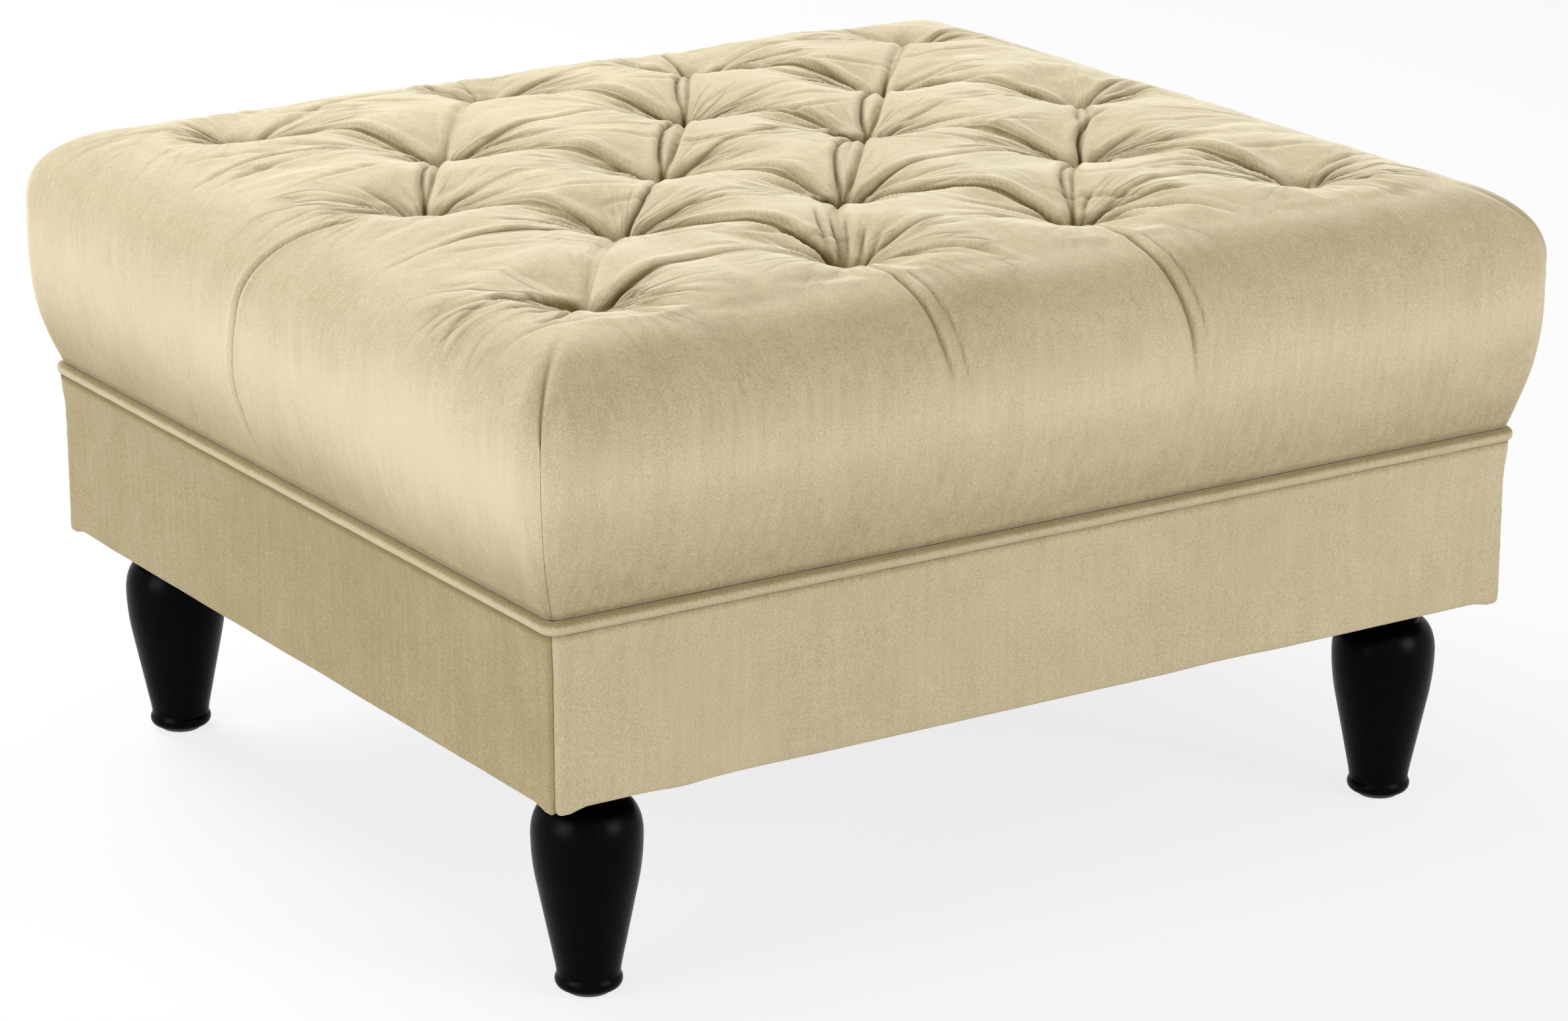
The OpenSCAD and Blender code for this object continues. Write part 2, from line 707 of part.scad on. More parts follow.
// A round plastic foot with a nail that is driven into the leg
module leg_glides() {
    rim_r = 1;
    nail_r = glide_nail_d / 2;
    nail_top = glide_t + glide_nail_l;
    color(black_colour) at_corners(base_w / 2 - leg_inset, base_d / 2 - leg_inset) rotate_extrude()
        polygon([[0, 0], [glide_r - rim_r, 0], [glide_r, rim_r], [glide_r, glide_t],
            [nail_r, glide_t], [nail_r, nail_top - glide_nail_d], [0, nail_top]]);
}

seat_cover();
seat_wadding();
seat_foam();
deck_board();
tuft_anchors();
tuft_twines();
tuft_toggles();
seat_piping();
front_rail();
back_rail();
left_rail();
right_rail();
cross_rail_left();
cross_rail_right();
corner_block_front_left();
corner_block_front_right();
corner_block_back_left();
corner_block_back_right();
rail_fleece();
front_panel();
back_panel();
left_panel();
right_panel();
dust_cover();
leg_front_left();
leg_front_right();
leg_back_left();
leg_back_right();
leg_bolts();
tee_nuts();
leg_glides();
frame_screws();
deck_screws();
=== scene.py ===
# Tufted footstool in pale velvet on black turned legs. Metres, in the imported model's own frame.
import math
import random

import bmesh
import bpy
import numpy as np
from mathutils import Matrix, Vector, noise


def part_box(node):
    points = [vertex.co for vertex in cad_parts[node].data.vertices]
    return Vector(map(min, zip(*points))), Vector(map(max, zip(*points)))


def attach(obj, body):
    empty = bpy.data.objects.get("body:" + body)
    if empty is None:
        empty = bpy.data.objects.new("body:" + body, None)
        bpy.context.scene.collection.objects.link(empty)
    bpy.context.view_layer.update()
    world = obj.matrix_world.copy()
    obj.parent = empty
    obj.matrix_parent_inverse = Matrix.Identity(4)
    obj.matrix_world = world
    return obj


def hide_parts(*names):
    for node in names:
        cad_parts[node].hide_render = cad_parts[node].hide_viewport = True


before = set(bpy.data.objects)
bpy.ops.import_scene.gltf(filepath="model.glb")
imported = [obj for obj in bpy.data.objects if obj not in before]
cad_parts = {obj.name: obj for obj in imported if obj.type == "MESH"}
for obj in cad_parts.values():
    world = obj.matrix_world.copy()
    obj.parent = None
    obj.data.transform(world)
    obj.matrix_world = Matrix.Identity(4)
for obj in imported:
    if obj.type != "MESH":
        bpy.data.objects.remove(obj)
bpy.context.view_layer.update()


# Small helpers for objects and meshes

def newPiece(name, bm, material, smooth=True):
    mesh = bpy.data.meshes.new(name)
    bm.to_mesh(mesh)
    bm.free()
    piece = bpy.data.objects.new(name, mesh)
    bpy.context.scene.collection.objects.link(piece)
    mesh.materials.append(material)
    mesh.polygons.foreach_set("use_smooth", [smooth] * len(mesh.polygons))
    return piece


def pointsOf(mesh):
    flat = np.empty(len(mesh.vertices) * 3, np.float32)
    mesh.vertices.foreach_get("co", flat)
    return flat.reshape(-1, 3).astype(float)


def normalsOf(mesh):
    flat = np.empty(len(mesh.vertices) * 3, np.float32)
    mesh.vertex_normals.foreach_get("vector", flat)
    return flat.reshape(-1, 3).astype(float)


def movePoints(mesh, points):
    mesh.vertices.foreach_set("co", points.astype(np.float32).ravel())
    mesh.update()


def paint(mesh, name, values):
    layer = mesh.attributes.new(name, "FLOAT", "POINT")
    layer.data.foreach_set("value", values.astype(np.float32))


def smoothStep(values):
    t = np.clip(values, 0, 1)
    return t * t * (3 - 2 * t)


# Node helpers

def feed(tree, socket, value):
    # links an output to a socket, or sets the socket's own value
    if isinstance(value, bpy.types.NodeSocket):
        tree.links.new(value, socket)
    else:
        socket.default_value = value


def addNode(tree, kind, settings=None, **inputs):
    # an input is given by its name, or as i0, i1 and so on by its number
    made = tree.nodes.new(kind)
    for key, value in (settings or {}).items():
        setattr(made, key, value)
    for key, value in inputs.items():
        numbered = key[0] == "i" and key[1:].isdigit()
        feed(tree, made.inputs[int(key[1:]) if numbered else key], value)
    return made


def maths(tree, operation, a, b=0.0, clamp=False):
    made = addNode(tree, "ShaderNodeMath", {"operation": operation, "use_clamp": clamp}, i0=a, i1=b)
    return made.outputs[0]


def mixColours(tree, factor, a, b):
    return addNode(tree, "ShaderNodeMix", {"data_type": "RGBA"}, i0=factor, i6=a, i7=b).outputs[2]


def spreadNoise(tree, value, toLow, toHigh):
    # a noise stays mostly between 0.3 and 0.7
    made = addNode(tree, "ShaderNodeMapRange", None, i0=value, i1=0.3, i2=0.7, i3=toLow, i4=toHigh)
    return made.outputs[0]


def grainNoise(tree, vector, scale, detail=2.0, stretch=(1, 1, 1)):
    mapped = addNode(tree, "ShaderNodeMapping", None, Vector=vector, Scale=stretch)
    made = addNode(tree, "ShaderNodeTexNoise", None, Vector=mapped.outputs[0], Scale=scale, Detail=detail)
    return made.outputs[0]


def newGroup(name, inputs, outputs):
    tree = bpy.data.node_groups.new(name, "ShaderNodeTree")
    for label, kind, value in inputs:
        socket = tree.interface.new_socket(label, in_out="INPUT", socket_type=kind)
        if value is not None:
            socket.default_value = value
    for label, kind in outputs:
        tree.interface.new_socket(label, in_out="OUTPUT", socket_type=kind)
    return tree, tree.nodes.new("NodeGroupInput"), tree.nodes.new("NodeGroupOutput")


def newMaterial(name, **principled):
    material = bpy.data.materials.new(name)
    material.use_nodes = True
    tree = material.node_tree
    shader = tree.nodes["Principled BSDF"]
    for key, value in principled.items():
        shader.inputs[key.replace("_", " ")].default_value = value
    place = addNode(tree, "ShaderNodeTexCoord").outputs["Object"]
    return material, tree, shader, place


def useGroup(tree, group, **inputs):
    made = tree.nodes.new("ShaderNodeGroup")
    made.node_tree = group
    for key, value in inputs.items():
        feed(tree, made.inputs[key.replace("_", " ")], value)
    return made.outputs


def bumpTo(tree, shader, height, strength, distance):
    bump = addNode(tree, "ShaderNodeBump", None, Strength=strength, Distance=distance, Height=height)
    tree.links.new(bump.outputs[0], shader.inputs["Normal"])


# Velvet

velvet = {
    "lit": (0.630, 0.540, 0.371, 1),      # painted light: the colour of pile that lies towards the light
    "shaded": (0.275, 0.219, 0.098, 1),   # painted shade: pile seen end on, in the folds
    "crease": (0.105, 0.070, 0.010, 1),   # painted shade: the bottom of a fold
    # painted shade: how far a crease turns the colour to the crease colour
    "creaseShadeShare": 0.80,
    "middle": 0.62,                       # share of the lit colour where nothing disturbs the pile
    "napScale": 900.0,                    # single tufts of pile, about 1.1 mm
    "napTone": 0.21,
    "mottleTone": 0.045,
    "mottleScale": 34.0,                  # patches brushed by a hand
    "streakScale": 210.0,                 # the ground weave's threads, seen as fine streaks
    "streakStretch": 0.07,
    "streakTone": 0.10,
    "streakHeight": 0.6,                  # against the height of the nap
    "creaseShadeTone": 0.6,                    # painted shade: how much a crease takes from the tone
    "roughness": (0.72, 0.88),
    "sheen": 0.75,
    "sheenRoughness": 0.38,
    "sheenTint": (1.0, 0.93, 0.74, 1),
    "specular": 0.12,
    "bump": 0.18,
    "bumpDistance": 0.0006,
    "fanTurns": 4.5,                      # how many lines pull out of a tuft
    "fanDrift": 14.0,                     # how soon such a line ends, per metre
    "fanShift": (37, 53, 0),              # gives every tuft its own lines
    "fanSharpness": 7.0,
    "fanPower": 0.7,
    "fanDepth": 0.0019,
    # painted shade in the valleys of the lines
    "fanPaintedShade": 0.40,
}


def buildVelvetGroup():
    # the nap tone input brings the painted light and shade laid on each piece, and the crease input the
    # painted shade in its folds
    tree, given, out = newGroup("velvetPile", [
        ("Place", "NodeSocketVector", None), ("Nap Tone", "NodeSocketFloat", 0.0),
        ("Crease", "NodeSocketFloat", 0.0), ("Lit", "NodeSocketColor", velvet["lit"]),
        ("Shaded", "NodeSocketColor", velvet["shaded"]), ("Streaks", "NodeSocketFloat", 1.0)],
        [("Color", "NodeSocketColor"), ("Roughness", "NodeSocketFloat"), ("Height", "NodeSocketFloat")])
    place = given.outputs["Place"]
    napAndPaintedLight = grainNoise(tree, place, velvet["napScale"], 3.0)
    mottle = grainNoise(tree, place, velvet["mottleScale"], 3.0)
    streak = grainNoise(tree, place, velvet["streakScale"], 2.0, (1, 1, velvet["streakStretch"]))
    # the tone starts from the painted light and shade, and the pile's grain, patches and streaks move it
    tone = maths(tree, "ADD", given.outputs["Nap Tone"], velvet["middle"])
    for value, reach in ((napAndPaintedLight, velvet["napTone"]), (mottle, velvet["mottleTone"])):
        tone = maths(tree, "ADD", tone, spreadNoise(tree, value, -reach, reach))
    streaks = spreadNoise(tree, streak, -velvet["streakTone"], velvet["streakTone"])
    tone = maths(tree, "ADD", tone, maths(tree, "MULTIPLY", streaks, given.outputs["Streaks"]))
    # painted shade in the creases: it takes from the tone and turns the colour to the crease colour
    shade = maths(tree, "MULTIPLY", given.outputs["Crease"], velvet["creaseShadeTone"])
    tone = maths(tree, "SUBTRACT", tone, shade, True)
    colour = mixColours(tree, tone, given.outputs["Shaded"], given.outputs["Lit"])
    depth = maths(tree, "MULTIPLY", given.outputs["Crease"], velvet["creaseShadeShare"], True)
    tree.links.new(mixColours(tree, depth, colour, velvet["crease"]), out.inputs["Color"])
    tree.links.new(spreadNoise(tree, napAndPaintedLight, *velvet["roughness"]), out.inputs["Roughness"])
    height = maths(tree, "ADD", napAndPaintedLight, maths(tree, "MULTIPLY", streak, velvet["streakHeight"]))
    tree.links.new(height, out.inputs["Height"])
    return tree


velvetGroup = buildVelvetGroup()


def velvetMaterial(name, streaks):
    material, tree, shader, place = newMaterial(
        name, Sheen_Weight=velvet["sheen"], Sheen_Roughness=velvet["sheenRoughness"],
        Sheen_Tint=velvet["sheenTint"], Specular_IOR_Level=velvet["specular"])
    # the painted light and shade laid on each piece
    napTone = addNode(tree, "ShaderNodeAttribute", {"attribute_name": "napAndPaintedLight"}).outputs["Fac"]
    crease = addNode(tree, "ShaderNodeAttribute", {"attribute_name": "crease"}).outputs["Fac"]
    made = useGroup(tree, velvetGroup, Place=place, Nap_Tone=napTone, Crease=crease, Streaks=streaks)
    tree.links.new(made["Color"], shader.inputs["Base Color"])
    tree.links.new(made["Roughness"], shader.inputs["Roughness"])
    bumpTo(tree, shader, made["Height"], velvet["bump"], velvet["bumpDistance"])
    return material


def vectorMaths(tree, operation, a, b=(0, 0, 0)):
    return addNode(tree, "ShaderNodeVectorMath", {"operation": operation}, i0=a, i1=b).outputs


def addTuftLines(material):
    # fine pulled lines round each tuft, drawn as bumps with painted shade in their valleys: "tuftAt" holds
    # the nearest tuft and "fan" how strongly it pulls
    tree = material.node_tree
    shader = tree.nodes["Principled BSDF"]
    place = addNode(tree, "ShaderNodeTexCoord").outputs["Object"]
    tuftAt = addNode(tree, "ShaderNodeAttribute", {"attribute_name": "tuftAt"}).outputs["Vector"]
    share = addNode(tree, "ShaderNodeAttribute", {"attribute_name": "fan"}).outputs["Fac"]
    away = vectorMaths(tree, "MULTIPLY", vectorMaths(tree, "SUBTRACT", place, tuftAt)[0], (1, 1, 0))[0]
    reach = vectorMaths(tree, "LENGTH", away)[1]
    heading = vectorMaths(tree, "NORMALIZE", away)[0]
    scaled = {"operation": "SCALE"}
    turned = addNode(tree, "ShaderNodeVectorMath", scaled, i0=heading, Scale=velvet["fanTurns"])
    drift = addNode(tree, "ShaderNodeCombineXYZ", None, Z=maths(tree, "MULTIPLY", reach, velvet["fanDrift"]))
    spot = vectorMaths(tree, "ADD", turned.outputs[0], drift.outputs[0])[0]
    spot = vectorMaths(tree, "ADD", spot, vectorMaths(tree, "MULTIPLY", tuftAt, velvet["fanShift"])[0])[0]
    ray = addNode(tree, "ShaderNodeTexNoise", None, Vector=spot, Scale=1.0, Detail=1.0).outputs[0]
    valley = maths(tree, "ABSOLUTE", maths(tree, "SUBTRACT", ray, 0.5))
    ridge = maths(tree, "MULTIPLY", valley, velvet["fanSharpness"], True)
    ridge = maths(tree, "POWER", ridge, velvet["fanPower"])
    bump = next(n for n in tree.nodes if n.type == "BUMP")
    lines = addNode(tree, "ShaderNodeBump", None, Strength=1.0, Distance=velvet["fanDepth"],
                    Height=maths(tree, "MULTIPLY", ridge, share))
    tree.links.new(lines.outputs[0], bump.inputs["Normal"])
    # painted shade in the valleys between the lines, added to the crease shade
    dark = maths(tree, "MULTIPLY", maths(tree, "SUBTRACT", 1.0, ridge), share)
    dark = maths(tree, "MULTIPLY", dark, velvet["fanPaintedShade"])
    pile = next(n for n in tree.nodes if n.type == "GROUP")
    crease = next(n for n in tree.nodes if n.type == "ATTRIBUTE" and n.attribute_name == "crease")
    tree.links.new(maths(tree, "ADD", crease.outputs["Fac"], dark), pile.inputs["Crease"])


seatVelvet = velvetMaterial("seatVelvet", streaks=0.7)
addTuftLines(seatVelvet)
baseVelvet = velvetMaterial("baseVelvet", streaks=0.5)
pipingVelvet = velvetMaterial("pipingVelvet", streaks=0.2)
print("velvet done")


# Wood, cloth, metal and plastic

wood = {
    "driftScale": 6.0, "drift": 9.0,      # how the rings wander
    "ringPower": 2.5,                     # narrows the late wood's dark lines
    "fibreScale": 900.0, "fibreStretch": (0.03, 1, 1), "fibreTone": 0.15,
    "roughness": (0.55, 0.75),
    "bump": 0.3, "bumpDistance": 0.0005,
    "rings": 160.0,                       # per metre
    "early": (0.66, 0.47, 0.26, 1),
    "late": (0.42, 0.24, 0.10, 1),
}


def buildWoodGroup():
    tree, given, out = newGroup("woodGrain", [
        ("Place", "NodeSocketVector", None), ("Early", "NodeSocketColor", wood["early"]),
        ("Late", "NodeSocketColor", wood["late"]), ("Rings", "NodeSocketFloat", wood["rings"])],
        [("Color", "NodeSocketColor"), ("Roughness", "NodeSocketFloat"), ("Height", "NodeSocketFloat")])
    place = given.outputs["Place"]
    drift = grainNoise(tree, place, wood["driftScale"], 2.0)
    across = addNode(tree, "ShaderNodeSeparateXYZ", None, Vector=place).outputs
    ring = maths(tree, "ADD", maths(tree, "MULTIPLY", across[1], given.outputs["Rings"]),
                 maths(tree, "MULTIPLY", drift, wood["drift"]))
    ring = maths(tree, "ADD", ring, maths(tree, "MULTIPLY", across[2], given.outputs["Rings"]))
    wave = maths(tree, "PINGPONG", ring, 1.0)
    fibre = grainNoise(tree, place, wood["fibreScale"], 2.0, wood["fibreStretch"])
    share = maths(tree, "ADD", maths(tree, "POWER", wave, wood["ringPower"]),
                  spreadNoise(tree, fibre, -wood["fibreTone"], wood["fibreTone"]), True)
    colour = mixColours(tree, share, given.outputs["Early"], given.outputs["Late"])
    tree.links.new(colour, out.inputs["Color"])
    tree.links.new(spreadNoise(tree, fibre, *wood["roughness"]), out.inputs["Roughness"])
    tree.links.new(fibre, out.inputs["Height"])
    return tree


woodGroup = buildWoodGroup()


def woodMaterial(name, turn):
    material, tree, shader, place = newMaterial(name)
    turned = addNode(tree, "ShaderNodeMapping", None, Vector=place, Rotation=(0, 0, turn)).outputs[0]
    made = useGroup(tree, woodGroup, Place=turned)
    tree.links.new(made["Color"], shader.inputs["Base Color"])
    tree.links.new(made["Roughness"], shader.inputs["Roughness"])
    bumpTo(tree, shader, made["Height"], wood["bump"], wood["bumpDistance"])
    return material


plies = {
    "perMetre": 400.0,
    "pale": (0.60, 0.42, 0.24, 1), "dark": (0.46, 0.30, 0.15, 1),
    "fibre": (0.33, 0.20, 0.10, 1), "fibreShare": 0.35, "fibreScale": 500.0, "fibreStretch": (0.05, 1, 1),
    "roughness": (0.5, 0.7),
    "bump": 0.3, "bumpDistance": 0.0004,
}


def plywoodMaterial():
    material, tree, shader, place = newMaterial("birchPlywood")
    height = addNode(tree, "ShaderNodeSeparateXYZ", None, Vector=place).outputs[2]
    ply = maths(tree, "PINGPONG", maths(tree, "MULTIPLY", height, plies["perMetre"]), 1.0)
    fibre = grainNoise(tree, place, plies["fibreScale"], 3.0, plies["fibreStretch"])
    colour = mixColours(tree, maths(tree, "GREATER_THAN", ply, 0.5), plies["pale"], plies["dark"])
    colour = mixColours(tree, spreadNoise(tree, fibre, 0.0, plies["fibreShare"]), colour, plies["fibre"])
    tree.links.new(colour, shader.inputs["Base Color"])
    tree.links.new(spreadNoise(tree, fibre, *plies["roughness"]), shader.inputs["Roughness"])
    bumpTo(tree, shader, fibre, plies["bump"], plies["bumpDistance"])
    return material


specks = {"share": (0.0, 0.8), "cloudScale": 0.06, "cloudShare": (-0.1, 0.2)}


def speckledMaterial(name, dark, light, scale, roughness, bump, stretch=(1, 1, 1), **principled):
    # scale is that of the specks, and bump its strength and distance
    material, tree, shader, place = newMaterial(name, **principled)
    speck = grainNoise(tree, place, scale, 4.0, stretch)
    cloud = grainNoise(tree, place, scale * specks["cloudScale"], 2.0)
    share = maths(tree, "ADD", spreadNoise(tree, speck, *specks["share"]),
                  spreadNoise(tree, cloud, *specks["cloudShare"]), True)
    tree.links.new(mixColours(tree, share, dark, light), shader.inputs["Base Color"])
    tree.links.new(spreadNoise(tree, speck, *roughness), shader.inputs["Roughness"])
    bumpTo(tree, shader, speck, *bump)
    return material


lacquerLook = {
    "dark": (0.0004, 0.0004, 0.0004, 1), "light": (0.0013, 0.0012, 0.0011, 1),
    "specular": 0.04,
    "poreScale": 700.0, "poreStretch": (1, 1, 0.08), "poreRoughness": 0.03,
    "wearScale": 60.0, "roughness": (0.26, 0.36),
    "bump": 0.12, "bumpDistance": 0.0003,
}


def lacquerMaterial():
    material, tree, shader, place = newMaterial("blackLacquer", Specular_IOR_Level=lacquerLook["specular"])
    pores = grainNoise(tree, place, lacquerLook["poreScale"], 3.0, lacquerLook["poreStretch"])
    wear = grainNoise(tree, place, lacquerLook["wearScale"], 4.0)
    share = spreadNoise(tree, pores, 0.0, 1.0)
    colour = mixColours(tree, share, lacquerLook["dark"], lacquerLook["light"])
    tree.links.new(colour, shader.inputs["Base Color"])
    poreRough = spreadNoise(tree, pores, -lacquerLook["poreRoughness"], lacquerLook["poreRoughness"])
    rough = maths(tree, "ADD", spreadNoise(tree, wear, *lacquerLook["roughness"]), poreRough)
    tree.links.new(rough, shader.inputs["Roughness"])
    bumpTo(tree, shader, pores, lacquerLook["bump"], lacquerLook["bumpDistance"])
    return material


pineAlongX = woodMaterial("pineAlongX", turn=0.0)
pineAlongY = woodMaterial("pineAlongY", turn=math.pi / 2)
plywood = plywoodMaterial()
foam = speckledMaterial(
    "foam", (0.62, 0.55, 0.38, 1), (0.83, 0.77, 0.60, 1), 900.0, (0.85, 0.95), (0.5, 0.001))
fleece = speckledMaterial(
    "fleece", (0.72, 0.72, 0.70, 1), (0.90, 0.90, 0.88, 1), 320.0, (0.85, 0.95), (0.6, 0.002),
    Sheen_Weight=0.2)
twine = speckledMaterial(
    "twine", (0.50, 0.44, 0.32, 1), (0.74, 0.68, 0.54, 1), 1500.0, (0.7, 0.85), (0.5, 0.0004), (1, 1, 0.3))
blackCloth = speckledMaterial(
    "blackCloth", (0.008, 0.008, 0.009, 1), (0.032, 0.032, 0.034, 1), 1100.0, (0.75, 0.9), (0.5, 0.0005))
zincSteel = speckledMaterial(
    "zincSteel", (0.42, 0.43, 0.44, 1), (0.66, 0.67, 0.68, 1), 400.0, (0.28, 0.42), (0.08, 0.0002),
    Metallic=1.0)
glidePlastic = speckledMaterial(
    "glidePlastic", (0.010, 0.010, 0.010, 1), (0.022, 0.022, 0.022, 1), 1300.0, (0.42, 0.55), (0.15, 0.0002))
lacquer = lacquerMaterial()
print("other materials done")

finishes = {
    "deck_board": plywood, "seat_foam": foam, "seat_wadding": fleece, "rail_fleece": fleece,
    "tuft_anchors": twine, "tuft_twines": twine, "tuft_toggles": pineAlongY,
    "front_rail": pineAlongX, "back_rail": pineAlongX, "left_rail": pineAlongY, "right_rail": pineAlongY,
    "cross_rail_left": pineAlongY, "cross_rail_right": pineAlongY,
    "leg_bolts": zincSteel, "tee_nuts": zincSteel, "frame_screws": zincSteel, "deck_screws": zincSteel,
    "leg_glides": glidePlastic,
}
for nodeName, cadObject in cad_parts.items():
    finish = finishes.get(nodeName)
    if nodeName.startswith("corner_block"):
        finish = pineAlongX
    if finish:
        cadObject.data.materials.clear()
        cadObject.data.materials.append(finish)


# Seat

seatLow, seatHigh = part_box("seat_cover")
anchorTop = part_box("tuft_anchors")[1].z
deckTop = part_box("deck_board")[1].z
railOut = 0.006                       # from the rails to the outside of the base's velvet
baseX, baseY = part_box("front_rail")[1].x + railOut, -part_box("front_rail")[0].y + railOut

unevenRoom = 0.0012                   # what the seat's outline leaves for the cloth's own unevenness

seat = {
    "wideX": seatHigh.x - unevenRoom,     # the seat's widest outline
    "wideY": seatHigh.y - unevenRoom,
    "wideZ": deckTop + 0.114,     # height of that outline
    "edgeZ": seatLow.z,           # lower edge of the cover
    "topZ": 0.4368,               # height of the cover's edge roll before it swells
    "dome": 0.004,                # how much higher its middle is
    "rollWidth": 0.060,
    "rollLength": 0.0927,         # velvet over the edge roll, from its top to the widest outline
    "bulge": 0.0215,              # from the cover's lower edge out to the widest outline
    "sideCurve": 2.3,             # a higher power draws the sides in closer to the piping
    "cornerTop": 0.008,           # radius of the upright corners on top,
    "cornerWide": 0.030,          # at the widest outline
    "cornerEdge": 0.008,          # and at the lower edge
    "spacing": 0.0042,            # distance between the threads of the simulated cover
    "tuftZ": anchorTop + 0.0043,  # bottom of every tuft
    "tuftReach": 0.0100, "tuftPower": 0.95,
    "knot": 0.0055,               # radius of the velvet gathered in a tuft's bottom
    "saddleZ": 0.4372,            # height of a narrow fold halfway between two tufts
    "lipZ": 0.4425,               # height of a wide one, where the velvet overlaps
    "foldRise": 0.18,             # a lower power lets the folds rise sooner beside the tufts
    "foldReach": 0.008, "foldPoints": 60,
    "holdInset": 0.005, "holdFade": 0.055,    # the threads are held from the edge roll outwards
    "growthInset": 0.02, "growthFade": 0.05,  # and the velvet is cut wider only inside it
    "growth": 0.018,              # how much wider than the seat the velvet is cut
    "pressure": 0.95,
    "frames": 22,
    "soften": 0.45, "softenPasses": 3,
    "hollowInset": 0.010,         # from the base's outline in to the wall of the filling's hollow
    "hollowZ": anchorTop + 0.0003,    # its ceiling
}
flatX, flatY = seat["wideX"] - seat["rollWidth"], seat["wideY"] - seat["rollWidth"]
clothX, clothY = flatX + seat["rollLength"], flatY + seat["rollLength"]
sideLength = seat["wideZ"] - seat["edgeZ"]

# Where the twines pull the velvet in, in plan, row by row from the front
tufts = {
    "a": (-0.297, -0.253), "b": (-0.101, -0.2505), "c": (0.0795, -0.246), "d": (0.269, -0.2415),
    "f": (-0.187, -0.1155), "g": (-0.019, -0.1215), "h": (0.178, -0.117),
    "e": (-0.267, 0.002), "k": (-0.0885, -0.0045), "l": (0.0915, 0.017), "m": (0.2775, 0.0225),
    "j": (-0.186, 0.1215), "o": (0.0135, 0.1275), "p": (0.181, 0.1305),
    "i": (-0.272, 0.251), "n": (-0.0705, 0.266), "q": (0.0975, 0.254), "r": (0.291, 0.258),
}

# Narrow folds from tuft to tuft, each between two creases: (their bows to the left in millimetres, strength)
tubeFolds = {
    "af": (4, -3, 0.22), "bg": (11, 5, 0.45), "ch": (12, 3, 0.75), "fk": (-5, -7, 0.6), "gl": (13, -6, 1.0),
    "hm": (2, -6, 0.55), "ej": (6, -3, 1.0), "ko": (8, -6, 1.0), "lp": (8, -7, 1.0), "jn": (5, 0, 0.3),
    "oq": (9, 0, 0.9), "pr": (1, -5, 0.6),
}
# Folds in which one pillow's velvet lies over the next: (bow, strength, width)
lipFolds = {
    "bf": (-20, 1.35, 1.0), "cg": (-16, 1.3, 1.05), "dh": (-12, 0.75, 1.5), "fe": (-9, 0.7, 1.3),
    "gk": (-12, 0.75, 1.4), "hl": (-10, 0.85, 1.2), "mp": (-8, 0.95, 0.9), "lo": (-10, 0.75, 1.1),
    "kj": (-9, 0.8, 1.3), "pq": (-12, 1.25, 0.95), "on": (-9, 0.7, 1.3), "ji": (-12, 1.1, 1.0),
}
# The same, along the rows
rowFolds = {
    "ab": (16, 1.25, 1.1), "bc": (10, 0.45, 1.0), "cd": (14, 0.8, 1.0), "fg": (8, 0.5, 1.1),
    "gh": (12, 0.75, 1.0), "ek": (8, 0.45, 1.2), "kl": (10, 0.75, 0.9), "lm": (7, 0.4, 1.0),
    "jo": (10, 0.85, 0.9), "op": (6, 0.4, 1.0), "in": (8, 0.6, 1.0), "nq": (6, 0.45, 1.0),
    "qr": (6, 0.5, 1.0),
}


def coverPoint(u, v):
    # the place on the untufted seat of a point of the flat cloth, measured from the cloth's middle
    downX, downY = np.clip(np.abs(u) - clothX, 0, None), np.clip(np.abs(v) - clothY, 0, None)
    down = np.minimum(np.maximum(downX, downY) / sideLength, 1)

    def rolled(length, flat):
        over = np.clip((np.abs(length) - flat) / seat["rollLength"], 0, 1)
        reach = np.minimum(np.abs(length), flat) + seat["rollWidth"] * np.sin(over * math.pi / 2)
        return np.sign(length) * reach, over

    x, overX = rolled(u, flatX)
    y, overY = rolled(v, flatY)
    over = np.maximum(overX, overY)
    crown = (1 - (x / seat["wideX"]) ** 2) * (1 - (y / seat["wideY"]) ** 2)
    fallen = (seat["topZ"] - seat["wideZ"]) * (1 - np.cos(over * math.pi / 2))
    z = seat["topZ"] - fallen + seat["dome"] * crown
    reach = seat["rollWidth"] * np.sin(over * math.pi / 2)
    side = down > 0
    drawn = seat["bulge"] * down ** seat["sideCurve"]
    edgeX = np.where(side, seat["wideX"] - drawn, flatX + reach)
    edgeY = np.where(side, seat["wideY"] - drawn, flatY + reach)

    def drawIn(place, flat, wide, edge):
        outer = side & (np.abs(place) > flat)
        closer = flat + (np.abs(place) - flat) * (edge - flat) / (wide - flat)
        return np.where(outer, np.sign(place) * closer, place)

    x, y = drawIn(x, flatX, seat["wideX"], edgeX), drawIn(y, flatY, seat["wideY"], edgeY)
    z = np.where(side, seat["wideZ"] - sideLength * down, z)
    top = seat["cornerTop"] + (seat["cornerWide"] - seat["cornerTop"]) * over
    radius = np.where(side, seat["cornerWide"] + (seat["cornerEdge"] - seat["cornerWide"]) * down, top)
    dx, dy = np.abs(x) - edgeX + radius, np.abs(y) - edgeY + radius
    k = np.maximum(dx, dy) / np.maximum(np.hypot(dx, dy), 1e-9)
    corner = (dx > 0) & (dy > 0)
    x = np.where(corner, np.sign(x) * (edgeX - radius + dx * k), x)
    y = np.where(corner, np.sign(y) * (edgeY - radius + dy * k), y)
    return np.stack([x, y, z], 1)


def foldLine(pair, bow, count):
    # points along a fold on the flat cloth
    start, end = (np.array(tufts[t]) for t in pair)
    return bowedLine(start, end, bow * 0.001, count)


def bowedLine(start, end, bow, count):
    share = np.linspace(0, 1, count)[:, None]
    way = np.subtract(end, start)
    left = np.array([-way[1], way[0]]) / np.linalg.norm(way)
    return start + way * share + left * bow * np.sin(math.pi * share)


